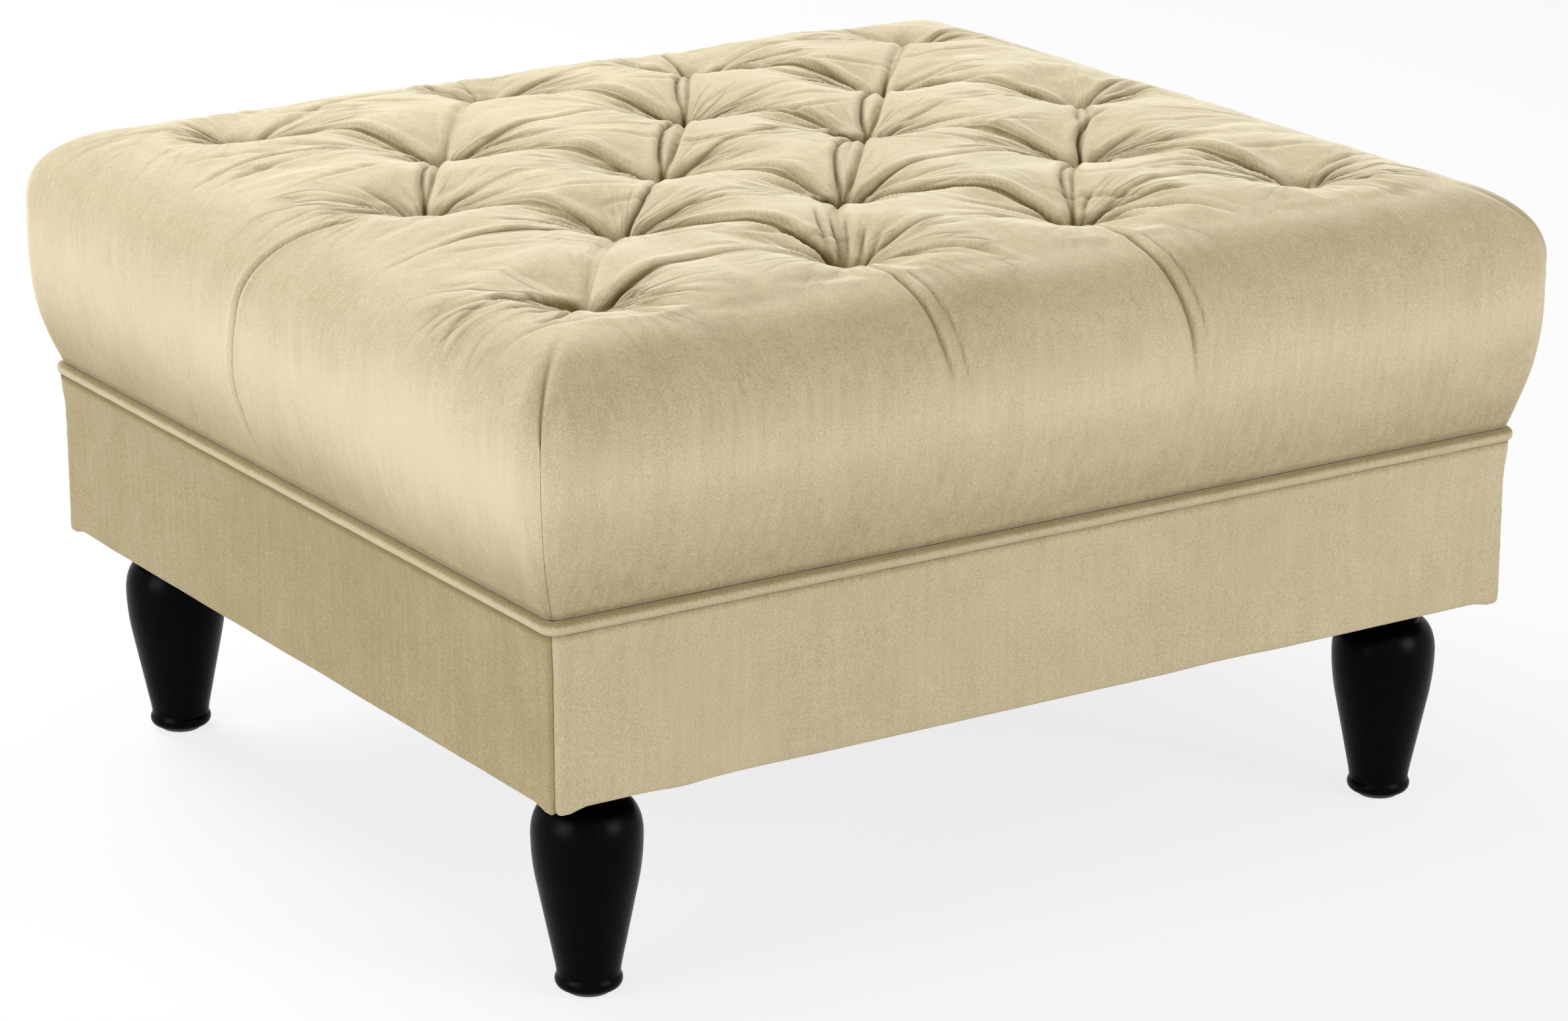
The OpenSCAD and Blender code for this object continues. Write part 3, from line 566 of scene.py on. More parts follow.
def pressTufts(points):
    # pulls the tufts down, lowers the folds between them, and says how firmly each thread is held
    plan = points[:, :2]
    toTuft = np.min([np.linalg.norm(plan - t, axis=1) for t in tufts.values()], axis=0)
    drop = (points[:, 2] - seat["tuftZ"]) * np.exp(-(toTuft / seat["tuftReach"]) ** seat["tuftPower"])
    nearest, foldZ = np.full(len(points), 1.0), np.zeros(len(points))
    share = np.linspace(0, 1, seat["foldPoints"])
    rise = np.sin(math.pi * share).clip(0, 1) ** seat["foldRise"]
    bows = {pair: sum(values[:2]) / 2 for pair, values in tubeFolds.items()}
    bows.update((pair, values[0]) for pair, values in lipFolds.items())
    for pair, bow in bows.items():
        saddle = seat["lipZ"] if pair in lipFolds else seat["saddleZ"]
        height = seat["tuftZ"] + (saddle - seat["tuftZ"]) * rise
        line = foldLine(pair, bow, seat["foldPoints"])
        away = np.linalg.norm(plan[:, None] - line[None], axis=2)
        at = away.argmin(1)
        closest = away[np.arange(len(plan)), at]
        better = closest < nearest
        nearest[better], foldZ[better] = closest[better], height[at[better]]
    fold = np.maximum(0, points[:, 2] - foldZ) * np.exp(-nearest / seat["foldReach"])
    points[:, 2] -= np.maximum(drop, fold)
    past = np.maximum(np.abs(plan[:, 0]) - flatX, np.abs(plan[:, 1]) - flatY)
    held = smoothStep((past + seat["holdInset"]) / seat["holdFade"])
    held[toTuft < seat["knot"]] = 1.0
    return points, held


def swellCover(piece, points, held):
    # the cloth simulation: the velvet is cut wider than the seat, and the fibre under it pushes out
    past = np.maximum(np.abs(points[:, 0]) - flatX, np.abs(points[:, 1]) - flatY) + seat["growthInset"]
    pin, tight = piece.vertex_groups.new(name="pin"), piece.vertex_groups.new(name="tight")
    for i, (hold, full) in enumerate(zip(held, np.clip(1 - past / seat["growthFade"], 0, 1))):
        tight.add([i], float(1 - full), "REPLACE")
        if hold > 0.001:
            pin.add([i], float(hold), "REPLACE")
    modifier = piece.modifiers.new("swell", "CLOTH")
    cover = modifier.settings
    cover.quality = 5
    cover.mass = 0.3
    cover.tension_stiffness = cover.compression_stiffness = 15
    cover.shear_stiffness = 5
    cover.bending_stiffness = 0.05
    cover.tension_damping = cover.compression_damping = cover.shear_damping = 5
    cover.bending_damping = 0.5
    cover.air_damping = 2
    cover.use_pressure = True
    cover.uniform_pressure_force = seat["pressure"]
    cover.vertex_group_mass = "pin"
    cover.vertex_group_shrink = "tight"
    cover.shrink_min, cover.shrink_max = -seat["growth"], 0.0
    cover.effector_weights.gravity = 0
    modifier.collision_settings.use_self_collision = False
    modifier.collision_settings.use_collision = False
    modifier.point_cache.frame_start, modifier.point_cache.frame_end = 1, seat["frames"]
    stage = bpy.context.scene
    for number in range(1, seat["frames"] + 1):
        stage.frame_set(number)
    result = pointsOf(piece.evaluated_get(bpy.context.evaluated_depsgraph_get()).data)
    piece.modifiers.clear()
    piece.vertex_groups.clear()
    stage.frame_set(1)
    return result


def hangSides(bm):
    # rings of cloth hung from the top's edge, down to the piping
    clothU, clothV = bm.verts.layers.float["clothU"], bm.verts.layers.float["clothV"]
    rings = round(sideLength / seat["spacing"])
    edges = [e for e in bm.edges if e.is_boundary]
    for ring in range(1, rings + 1):
        made = bmesh.ops.extrude_edge_only(bm, edges=edges)["geom"]
        fresh = [v for v in made if isinstance(v, bmesh.types.BMVert)]
        reachX, reachY = clothX + sideLength * ring / rings, clothY + sideLength * ring / rings
        for v in fresh:
            if abs(v[clothU]) > clothX - 0.0001:
                v[clothU] = math.copysign(reachX, v[clothU])
            if abs(v[clothV]) > clothY - 0.0001:
                v[clothV] = math.copysign(reachY, v[clothV])
        places = coverPoint(np.array([v[clothU] for v in fresh]), np.array([v[clothV] for v in fresh]))
        for v, place in zip(fresh, places):
            v.co = place
        edges = [e for e in made if isinstance(e, bmesh.types.BMEdge) and e.is_boundary]


def bakeModifier(piece, kind, **settings):
    modifier = piece.modifiers.new(kind.lower(), kind)
    for key, value in settings.items():
        setattr(modifier, key, value)
    made = bpy.data.meshes.new_from_object(piece.evaluated_get(bpy.context.evaluated_depsgraph_get()))
    piece.modifiers.clear()
    old = piece.data
    piece.data = made
    bpy.data.meshes.remove(old)
    made.name = piece.name


# Fine folds: lines on the flat cloth that press creases, raise ridges and paint shade along the creases

# How much of its length a fold takes to begin and to end, as shares
fades = {
    "lip": (0.06, 0.35), "strand": (0.06, 0.6), "row": (0.10, 0.7), "looseLip": (0.12, 0.5),
    "hook": (0.05, 0.6), "tube": (0.12, 0.6), "tubeSide": (0.05, 0.2), "crease": (0.10, 0.45),
    "pleat": (0.12, 0.30), "fan": (0.12, 0.6), "track": (0.4, 0.4),
}

# the Dark values set how much painted shade each kind of fold lays along its crease
fine = {
    "reach": 3.2,                 # how many widths to both sides of its line a fold moves threads
    "crowd": 2.0, "drawIn": 0.45,  # how many widths away, and how strongly, threads crowd in to a crease
    "leanAt": 0.6, "leanWidth": 0.5,  # which part of a ridge leans over its crease, in widths
    "darkest": 1.3, "spread": 0.24,
    "far": (0.54, 0.84),          # towards the cloth that lies on top in a lip, in plan
    "linePoints": 24,
    # lips: their profiles are in widths of the fold, from the line outwards
    "lipDepth": 0.0027, "lipRidge": 0.0018, "lipWidth": 0.0066, "lipLean": 0.0008, "lipDark": 0.75,
    "lipTail": 1.1, "lipBottom": 0.42, "lipCrown": (1.0, 0.75),
    "rowStrength": 0.75, "rowWidth": 0.8, "rowDark": 0.8,
    "hookDark": 1.3, "hookSpread": 0.5,
    "strands": (-7.0, 6.0),       # how much further the fine creases beside a lip bow, in millimetres
    "strandStrength": 0.50, "strandWidth": 0.90, "strandDark": 0.7,
    # tubes: a ridge between two creases
    "tubeRidge": 0.0020, "tubeShare": 0.32, "tubeLeast": 0.002, "tubeWidth": 0.85, "tubeEnds": 0.70,
    # creases, and the shallower wrinkles
    "sideRidge": 0.45,            # the ridges beside a crease against its depth
    "creaseDepth": 0.0036, "creaseWidth": 0.0052, "creaseBottom": 0.42, "creaseRidge": (1.1, 0.6),
    "creaseDark": 0.8,
    "wrinkleDepth": 0.0022, "wrinkleWidth": 0.0052, "wrinkleBottom": 0.45, "wrinkleRidge": (1.0, 0.55),
    "wrinkleDark": 0.35,
    "pleatStrength": 0.60, "pleatDark": 0.95,
    "seed": 7,
}

# Wrinkles that fan out from every tuft: each one's values are drawn from the ranges
fans = {
    "count": 7,
    "turn": (152, -26),           # the two ways, in degrees, that they fan out
    "step": 11, "stray": (-4, 4),
    "length": (0.040, 0.125),
    "shorter": 0.12,              # by this share for each step away from the fan's middle
    "start": (0.005, 0.014),
    "bow": (-0.03, 0.10),         # against the length
    "strength": (0.5, 1.35),
    "linePoints": 14,
}

# Long faint wrinkles that cross the pillows between the tufts
tracks = {
    "count": 64,
    "stray": (-16, 34),
    "half": (0.025, 0.065),       # half the length
    "bow": (-0.006, 0.008),
    "strength": (0.25, 0.7),
    "linePoints": 12,
}

# The sewn corners: a groove with a puffed rise to both sides, and painted shade along the groove
mitre = {
    "tufts": ("a", "d", "i", "r"),        # where the four seams start
    "width": 0.0045, "depth": 0.0022, "puff": 0.0009,
    "puffAt": 2.6, "puffWidth": 1.3,      # in widths of the groove
    "reach": 0.05,
    "from": 0.35, "fade": 0.4,            # shares of the way from the corner's tuft, where the groove begins
    "dark": 0.5, "darkBelow": 0.28, "darkWidth": 0.55,
}

# Soft unevenness of stuffed velvet
crumples = {
    "size": 0.085, "depth": 0.0016,
    "finer": 0.4,                 # a second, smaller wave
    "between": 0.35,              # what is left of it between the tufts
    "freeFade": 0.03, "lowFade": 0.02,
}

# How strongly the tufts pull fine lines into the pile
pull = {
    "spread": 42,                 # degrees to both sides of a fan's middle
    "reach": 0.150, "reachFade": 0.09,
    "least": 0.25,
    "start": 0.012, "meeting": 0.03, "edge": 0.05,
    "patchScale": 16, "patchMiddle": 0.55, "patchSpread": 1.1,
}

# Painted light and shade on the seat's velvet, by height and by side, with a random drift
napAndPaintedLight = {
    # a painted highlight round the widest part, painted shade on the shoulder and low down, painted light on
    # top
    "band": 0.25, "bandZ": 0.354, "bandHeight": 0.026,
    "shoulder": 0.06, "shoulderZ": 0.410, "shoulderHeight": 0.018,
    "low": 0.20, "lowZ": 0.315, "lowFade": 0.040,
    "top": 0.13, "topZ": 0.425, "topFade": 0.012,
    "hemPaintedShade": 0.35, "hemHeight": 0.007,          # painted shade in the gap above the piping
    "ends": 0.14, "endsFade": 0.03,           # painted light on the left and right sides against the front and the back
    # painted shade low down on the left and right sides
    "endsLow": 0.34, "endsLowZ": 0.335, "endsLowFade": 0.060,
    "drift": 0.10, "driftScale": (7, 4),      # across and upwards
}

# Single folds on the flat cloth in millimetres: (kind, strength, width, points)
looseFolds = (
    ("lip", 0.6, 0.75, (-291, -253), (-305, -237), (-325, -226), (-365, -224), (-405, -238)),
    ("crease", 0.9, 0.9, (-290, -262), (-320, -274), (-352, -284)),
    ("hook", 1.5, 0.8, (95, 22), (84, 30), (70, 28), (59, 14), (52, -6)),
    ("hook", 1.4, 0.8, (-15, -119), (-24, -110), (-37, -114), (-47, -130), (-52, -150)),
    ("hook", 0.8, 0.7, (-293, -250), (-294, -240), (-304, -234), (-318, -230)),
    ("hook", 0.9, 0.7, (184, 133), (178, 141), (168, 138), (158, 126)),
    ("crease", 1.2, 1.0, (173, -115), (190, -120), (186, -135), (178, -150)),
    ("crease", 0.9, 1.0, (182, -113), (196, -86), (222, -62), (256, -48)),
    ("lip", 0.8, 0.8, (-192, -119), (-232, -122), (-270, -114), (-318, -112), (-372, -116)),
    ("crease", 0.8, 0.9, (-187, 118), (-228, 136), (-272, 148), (-326, 152), (-372, 146)),
    ("crease", 0.8, 1.0, (-74, 270), (-92, 290), (-98, 312), (-96, 338)),
    ("crease", 0.8, 1.0, (92, 258), (74, 282), (62, 306), (58, 334)),
    ("crease", 0.6, 0.9, (101, 258), (98, 286), (104, 312)),
    ("crease", 0.7, 1.0, (284, 26), (312, 40), (346, 48), (384, 50)),
    ("crease", 0.4, 0.8, (275, -238), (298, -226), (330, -220), (372, -222)),
    ("crease", 0.7, 0.62, (-104, -248), (-98, -216), (-84, -184), (-68, -160)),
    ("crease", 0.7, 0.62, (-101, -246), (-90, -217), (-76, -190)),
    ("crease", 0.7, 0.62, (-98, -247), (-82, -222), (-65, -194)),
    ("crease", 0.7, 0.62, (-95, -248), (-80, -235), (-66, -218)),
    ("crease", 0.6, 0.62, (-94, -251), (-78, -242), (-60, -230)),
    ("crease", 0.6, 0.62, (86, -244), (102, -226), (122, -212)),
)

# Pleats from the outer tufts over the edge roll and down the sides: (strength, width, points)
pleats = (
    (1.0, 0.9, (-101, -252), (-107, -290), (-108, -322), (-105, -352), (-104, -376), (-97, -404)),
    (0.5, 0.7, (-96, -300), (-95, -334), (-92, -362), (-90, -388), (-84, -408)),
    (1.2, 1.0, (80, -248), (72, -288), (74, -326), (77, -352), (81, -376), (86, -400), (93, -436)),
    (0.6, 0.7, (84, -310), (88, -344), (92, -372), (97, -404)),
    (0.9, 0.8, (-270, 0), (-300, -12), (-332, -16), (-358, -8), (-386, 5), (-418, 18), (-450, 28), (-482, 36),
     (-512, 32), (-545, 16)),
    (0.8, 0.9, (281, 23), (322, 18), (360, 10), (396, 4), (436, 0), (480, -6), (520, -4)),
    (0.7, 0.9, (-70, 270), (-66, 308), (-60, 342), (-58, 378), (-60, 414)),
    (0.8, 0.9, (98, 258), (104, 296), (106, 334), (100, 372), (98, 420), (101, 470)),
)


def acrossLine(cloth, line):
    # signed distance to the left of a line, share of the way along it, and the direction to its left
    start, way = line[:-1], np.diff(line, axis=0)
    apart = cloth[:, None] - start[None]
    t = np.clip((apart * way).sum(2) / (way ** 2).sum(1), 0, 1)
    gap = apart - way[None] * t[..., None]
    distance = np.linalg.norm(gap, axis=2)
    at = distance.argmin(1)
    row = np.arange(len(cloth))
    left = np.stack([-way[at, 1], way[at, 0]], 1) / np.linalg.norm(way[at], axis=1)[:, None]
    signed = np.copysign(distance[row, at], (gap[row, at] * left).sum(1))
    return signed, (at + t[row, at]) / len(way), left


def bump(s, middle, width):
    return np.exp(-((s - middle) / width) ** 2)


def roundedLine(points):
    # corners given in millimetres, cut twice so that the fold runs smoothly
    line = np.array(points, float) * 0.001
    for _ in range(2):
        near, far = line[:-1] * 0.75 + line[1:] * 0.25, line[:-1] * 0.25 + line[1:] * 0.75
        inner = np.stack([near, far], 1).reshape(-1, 2)
        line = np.concatenate([line[:1], inner, line[-1:]])
    return line


class CoverFolds:
    def __init__(self, mesh):
        self.cloth = np.stack([readLayer(mesh, "clothU"), readLayer(mesh, "clothV")], 1)
        self.points, self.normals = pointsOf(mesh), normalsOf(mesh)
        step = 0.001
        u, v = self.cloth[:, 0], self.cloth[:, 1]
        self.alongU = (coverPoint(u + step, v) - coverPoint(u - step, v)) / (2 * step)
        self.alongV = (coverPoint(u, v + step) - coverPoint(u, v - step)) / (2 * step)
        self.crease = np.zeros(len(u))

    def press(self, line, width, profile, fade, strength, dark, lean=0.0, ends=0.0,
              crowded=True, spread=fine["spread"]):
        # moves the threads beside a line along the profile; a lean pushes the ridge on that side over the
        # crease, and ends says how much of the shade keeps to the line's two ends
        reach = fine["reach"] * width
        low, high = line.min(0) - reach, line.max(0) + reach
        near = np.nonzero(((self.cloth > low) & (self.cloth < high)).all(1))[0]
        if not len(near):
            return
        s, share, left = acrossLine(self.cloth[near], line)
        keep = np.abs(s) < reach
        near, s, share, left = near[keep], s[keep], share[keep], left[keep]
        shown = strength * smoothStep(share / fade[0]) * smoothStep((1 - share) / fade[1])
        crowd = fine["crowd"] * width
        drawn = s * ((np.abs(s) / crowd) ** fine["drawIn"] - 1)
        slide = np.where(np.abs(s) < crowd, drawn, 0) * np.minimum(shown, 1) * crowded
        slid = s + slide
        if lean:
            crown = math.copysign(fine["leanAt"] * width, lean)
            slide = slide - lean * bump(slid, crown, fine["leanWidth"] * width) * shown
        sideways = self.alongU[near] * left[:, :1] + self.alongV[near] * left[:, 1:]
        lift = profile(slid / width) * shown
        self.points[near] += sideways * slide[:, None] + self.normals[near] * lift[:, None]
        # painted shade along the crease, kept in the crease layer
        shade = dark * (1 - ends * (1 - np.abs(2 * share - 1)))
        shade = shade * np.exp(-(slid / (spread * width)) ** 2)
        self.crease[near] += shade * np.minimum(shown, fine["darkest"])

    def lip(self, line, strength, width, fade, dark=1.0, spread=fine["spread"]):
        way = line[-1] - line[0]
        side = 1 if -way[1] * fine["far"][0] + way[0] * fine["far"][1] > 0 else -1
        self.press(line, fine["lipWidth"] * width, lambda s: lipProfile(s * side), fade, strength, dark,
                   lean=side * fine["lipLean"], spread=spread)

    def tube(self, pair, leftBow, rightBow, strength):
        width = fine["tubeShare"] * (abs(leftBow - rightBow) * 0.001) + fine["tubeLeast"]
        middle = foldLine(pair, (leftBow + rightBow) / 2, fine["linePoints"])
        self.press(middle, width, tubeProfile, fades["tube"], strength, dark=0.0, crowded=False)
        for bow in (leftBow, rightBow):
            line = foldLine(pair, bow, fine["linePoints"])
            self.groove(line, strength, fine["tubeWidth"], fades["tubeSide"], 1.0, fine["tubeEnds"])

    def groove(self, line, strength, width, fade=fades["crease"], dark=fine["creaseDark"], ends=0.0):
        self.press(line, fine["creaseWidth"] * width, creaseProfile, fade, strength, dark, ends=ends)

    def wrinkle(self, line, strength, fade):
        self.press(line, fine["wrinkleWidth"], wrinkleProfile, fade, strength, fine["wrinkleDark"])


def lipProfile(s):
    # the cloth on the left rises over the crease in a round lip, and the cloth on the right runs in under it
    right = -fine["lipDepth"] * np.exp(s / fine["lipTail"])
    left = -fine["lipDepth"] * bump(s, 0, fine["lipBottom"]) + fine["lipRidge"] * bump(s, *fine["lipCrown"])
    return np.where(s < 0, right, left)


def tubeProfile(s):
    return fine["tubeRidge"] * bump(s, 0, 1)


def creaseProfile(s):
    ridges = fine["sideRidge"] * bump(np.abs(s), *fine["creaseRidge"])
    return fine["creaseDepth"] * (ridges - bump(s, 0.0, fine["creaseBottom"]))


def wrinkleProfile(s):
    ridges = fine["sideRidge"] * bump(np.abs(s), *fine["wrinkleRidge"])
    return fine["wrinkleDepth"] * (ridges - bump(s, 0.0, fine["wrinkleBottom"]))


def pressFans(folds, draw):
    middle = (fans["count"] - 1) / 2
    for spot in tufts.values():
        for turn in fans["turn"]:
            for number in range(fans["count"]):
                angle = math.radians(turn + (number - middle) * fans["step"] + draw.uniform(*fans["stray"]))
                length = draw.uniform(*fans["length"]) * (1 - fans["shorter"] * abs(number - middle))
                heading = np.array([math.cos(angle), math.sin(angle)])
                start = np.array(spot) + heading * draw.uniform(*fans["start"])
                bow = draw.uniform(*fans["bow"]) * length * (1 if turn < 90 else -1)
                line = bowedLine(start, start + heading * length, bow, fans["linePoints"])
                folds.wrinkle(line, draw.uniform(*fans["strength"]), fades["fan"])


def pressTracks(folds, draw):
    for _ in range(tracks["count"]):
        angle = math.radians(fans["turn"][1] + draw.uniform(*tracks["stray"]))
        heading = np.array([math.cos(angle), math.sin(angle)])
        middle = np.array([draw.uniform(-flatX, flatX), draw.uniform(-flatY, flatY)])
        half = heading * draw.uniform(*tracks["half"])
        bow = draw.uniform(*tracks["bow"])
        line = bowedLine(middle - half, middle + half, bow, tracks["linePoints"])
        folds.wrinkle(line, draw.uniform(*tracks["strength"]), fades["track"])


def pressCorners(folds):
    # the sewn seam from each corner tuft over the shoulder and down the upright corner
    u, v = np.abs(folds.cloth[:, 0]), np.abs(folds.cloth[:, 1])
    downX, downY = np.clip(u - clothX, 0, None), np.clip(v - clothY, 0, None)
    side = np.maximum(downX, downY) > 0
    toSeam = np.where(side, np.where(downX > 0, clothY + downX - v, clothX + downY - u), 1.0)
    toSeam = np.where(side & (downX > 0) & (downY > 0), 0.0, toSeam)
    share = np.where(side, 1.0, 0.0)
    for name in mitre["tufts"]:
        spot = np.array(tufts[name])
        corner = np.copysign([clothX, clothY], spot)
        distance, along, _ = acrossLine(folds.cloth, np.array([spot, corner]))
        near = ~side & (np.abs(distance) < mitre["reach"]) & (along > 0)
        toSeam[near] = np.minimum(toSeam[near], np.abs(distance[near]))
        begun = smoothStep((along[near] - mitre["from"]) / mitre["fade"])
        share[near] = np.maximum(share[near], begun)
    width = mitre["width"]
    groove = bump(toSeam, 0, width) * share
    puff = bump(toSeam, mitre["puffAt"] * width, mitre["puffWidth"] * width) * share
    folds.points += folds.normals * (mitre["puff"] * puff - mitre["depth"] * groove)[:, None]
    # painted shade along the seam's groove, lighter down the sides
    dark = np.where(side, mitre["darkBelow"], mitre["dark"])
    folds.crease += dark * bump(toSeam, 0, mitre["darkWidth"] * width) * share


def crumple(folds):
    # stronger on the free sides than between the tufts
    size, finer = crumples["size"], crumples["finer"]
    wave = np.array([noise.noise(p / size) + finer * noise.noise(p / (finer * size))
                     for p in (Vector(point) for point in folds.points)])
    past = np.maximum(np.abs(folds.cloth[:, 0]) - flatX, np.abs(folds.cloth[:, 1]) - flatY)
    free = crumples["between"] + (1 - crumples["between"]) * smoothStep(past / crumples["freeFade"])
    low = smoothStep((folds.points[:, 2] - seat["edgeZ"]) / crumples["lowFade"])
    folds.points += folds.normals * (crumples["depth"] * wave * free * low)[:, None]


def markPull(mesh, cloth):
    # tells the velvet's shader where the nearest tuft is and how strongly it pulls there
    spots = np.array(list(tufts.values()))
    toTufts = np.linalg.norm(cloth[:, None] - spots[None], axis=2)
    order = np.sort(toTufts, axis=1)
    nearest = spots[toTufts.argmin(1)]
    away = cloth - nearest
    turn = np.degrees(np.arctan2(away[:, 1], away[:, 0]))
    lobes = 0.0
    for axis in fans["turn"]:
        apart = (turn - axis + 180) % 360 - 180
        lobes = lobes + np.exp(-(apart / pull["spread"]) ** 2)
    share = pull["least"] + (1 - pull["least"]) * np.clip(lobes, 0, 1)
    share *= smoothStep(order[:, 0] / pull["start"])
    ending = smoothStep((order[:, 1] - order[:, 0]) / pull["meeting"])
    share *= ending * smoothStep((pull["reach"] - order[:, 0]) / pull["reachFade"])
    past = np.maximum(np.abs(cloth[:, 0]) - clothX, np.abs(cloth[:, 1]) - clothY)
    share *= smoothStep(-past / pull["edge"])
    size = pull["patchScale"]
    patches = np.array([noise.noise(Vector((x * size, y * size, 5))) for x, y in cloth])
    paint(mesh, "fan", share * smoothStep(pull["patchMiddle"] + pull["patchSpread"] * patches))
    layer = mesh.attributes.new("tuftAt", "FLOAT_VECTOR", "POINT")
    flat = np.column_stack([nearest, np.zeros(len(nearest))]).astype(np.float32).ravel()
    layer.data.foreach_set("vector", flat)


def markPaintedLight(mesh, folds):
    # painted light and shade: bright round the widest part, dark on the shoulder that faces a viewer, darker
    # low down, with painted shade above the piping
    z = folds.points[:, 2]
    onSide = np.maximum(np.abs(folds.cloth[:, 0]) - flatX, np.abs(folds.cloth[:, 1]) - flatY) > 0
    endFace = smoothStep((np.abs(folds.cloth[:, 0]) - clothX + napAndPaintedLight["endsFade"]) / napAndPaintedLight["endsFade"])
    tone = napAndPaintedLight["band"] * bump(z, napAndPaintedLight["bandZ"], napAndPaintedLight["bandHeight"])
    tone -= napAndPaintedLight["shoulder"] * bump(z, napAndPaintedLight["shoulderZ"], napAndPaintedLight["shoulderHeight"])
    tone -= napAndPaintedLight["low"] * smoothStep((napAndPaintedLight["lowZ"] - z) / napAndPaintedLight["lowFade"])
    tone = tone * np.where(onSide, 1, 0.0) + napAndPaintedLight["top"] * smoothStep((z - napAndPaintedLight["topZ"]) / napAndPaintedLight["topFade"])
    tone -= napAndPaintedLight["hemPaintedShade"] * smoothStep((seat["edgeZ"] + napAndPaintedLight["hemHeight"] - z) / napAndPaintedLight["hemHeight"])
    tone += endFace * (napAndPaintedLight["ends"] - napAndPaintedLight["endsLow"] * smoothStep((napAndPaintedLight["endsLowZ"] - z) / napAndPaintedLight["endsLowFade"]))
    across, up = napAndPaintedLight["driftScale"]
    drift = np.array([noise.noise(Vector((x * across, y * across, h * up))) for x, y, h in folds.points])
    paint(mesh, "napAndPaintedLight", tone + napAndPaintedLight["drift"] * drift)


def pressFolds(mesh):
    folds = CoverFolds(mesh)
    count = fine["linePoints"]
    for pair, (bow, strength, width) in lipFolds.items():
        folds.lip(foldLine(pair, bow, count), strength, width, fades["lip"], fine["lipDark"])
        for more in fine["strands"]:
            strand = foldLine(pair, bow + more, count)
            folds.groove(strand, fine["strandStrength"], fine["strandWidth"], fades["strand"],
                         fine["strandDark"])
    for pair, (bow, strength, width) in rowFolds.items():
        strength, width = strength * fine["rowStrength"], width * fine["rowWidth"]
        folds.lip(foldLine(pair, bow, count), strength, width, fades["row"], fine["rowDark"])
    for pair, (leftBow, rightBow, strength) in tubeFolds.items():
        folds.tube(pair, leftBow, rightBow, strength)
    for kind, strength, width, *points in looseFolds:
        line = roundedLine(points)
        if kind == "lip":
            folds.lip(line, strength, width, fades["looseLip"])
        elif kind == "hook":
            folds.lip(line, strength, width, fades["hook"], fine["hookDark"], fine["hookSpread"])
        else:
            folds.groove(line, strength, width)
    for strength, width, *points in pleats:
        strength = fine["pleatStrength"] * strength
        folds.groove(roundedLine(points), strength, width, fades["pleat"], fine["pleatDark"])
    draw = random.Random(fine["seed"])
    pressFans(folds, draw)
    pressTracks(folds, draw)
    pressCorners(folds)
    crumple(folds)
    movePoints(mesh, folds.points)
    # painted shade in the creases, for the velvet's shader
    paint(mesh, "crease", np.clip(folds.crease, 0, 1))
    markPull(mesh, folds.cloth)
    markPaintedLight(mesh, folds)


def readLayer(mesh, name):
    values = np.empty(len(mesh.vertices), np.float32)
    mesh.attributes[name].data.foreach_get("value", values)
    return values.astype(float)


def closeUnderside(bm):
    # turns the lower edge in to the filling's hollow, up its walls and across its ceiling
    innerX, innerY = baseX - seat["hollowInset"], baseY - seat["hollowInset"]
    edges = [e for e in bm.edges if e.is_boundary]
    made = bmesh.ops.extrude_edge_only(bm, edges=edges)["geom"]
    rim = [v for v in made if isinstance(v, bmesh.types.BMVert)]
    for v in rim:
        v.co.x = max(-innerX, min(innerX, v.co.x))
        v.co.y = max(-innerY, min(innerY, v.co.y))
        v.co.z = seat["edgeZ"]
    edges = [e for e in made if isinstance(e, bmesh.types.BMEdge) and e.is_boundary]
    made = bmesh.ops.extrude_edge_only(bm, edges=edges)["geom"]
    ceiling = [v for v in made if isinstance(v, bmesh.types.BMVert)]
    for v in ceiling:
        v.co.z = seat["hollowZ"]
    bmesh.ops.remove_doubles(bm, verts=rim + ceiling, dist=0.00002)
    bmesh.ops.edgeloop_fill(bm, edges=[e for e in bm.edges if e.is_boundary])
    bmesh.ops.recalc_face_normals(bm, faces=bm.faces)


def buildSeat():
    bm = bmesh.new()
    bmesh.ops.create_grid(bm, x_segments=round(2 * clothX / seat["spacing"]),
                          y_segments=round(2 * clothY / seat["spacing"]), size=1.0)
    clothU, clothV = bm.verts.layers.float.new("clothU"), bm.verts.layers.float.new("clothV")
    for v in bm.verts:
        v[clothU], v[clothV] = v.co.x * clothX, v.co.y * clothY
    piece = newPiece("seatCover", bm, seatVelvet)
    mesh = piece.data
    points, held = pressTufts(coverPoint(readLayer(mesh, "clothU"), readLayer(mesh, "clothV")))
    movePoints(mesh, points)
    print("seat sheet done,", len(points), "points")
    movePoints(mesh, swellCover(piece, points, held))
    print("seat cloth simulation done")
    bm = bmesh.new()
    bm.from_mesh(mesh)
    hangSides(bm)
    bm.to_mesh(mesh)
    bm.free()
    bakeModifier(piece, "SUBSURF", levels=1, render_levels=1)
    pressFolds(piece.data)
    bakeModifier(piece, "SMOOTH", factor=seat["soften"], iterations=seat["softenPasses"])
    print("seat folds done")
    bm = bmesh.new()
    bm.from_mesh(piece.data)
    closeUnderside(bm)
    bm.to_mesh(piece.data)
    bm.free()
    piece.data.polygons.foreach_set("use_smooth", [True] * len(piece.data.polygons))
    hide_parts("seat_cover")
    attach(piece, "root")
    print("seat done,", len(piece.data.vertices), "points")


buildSeat()


# Base panels

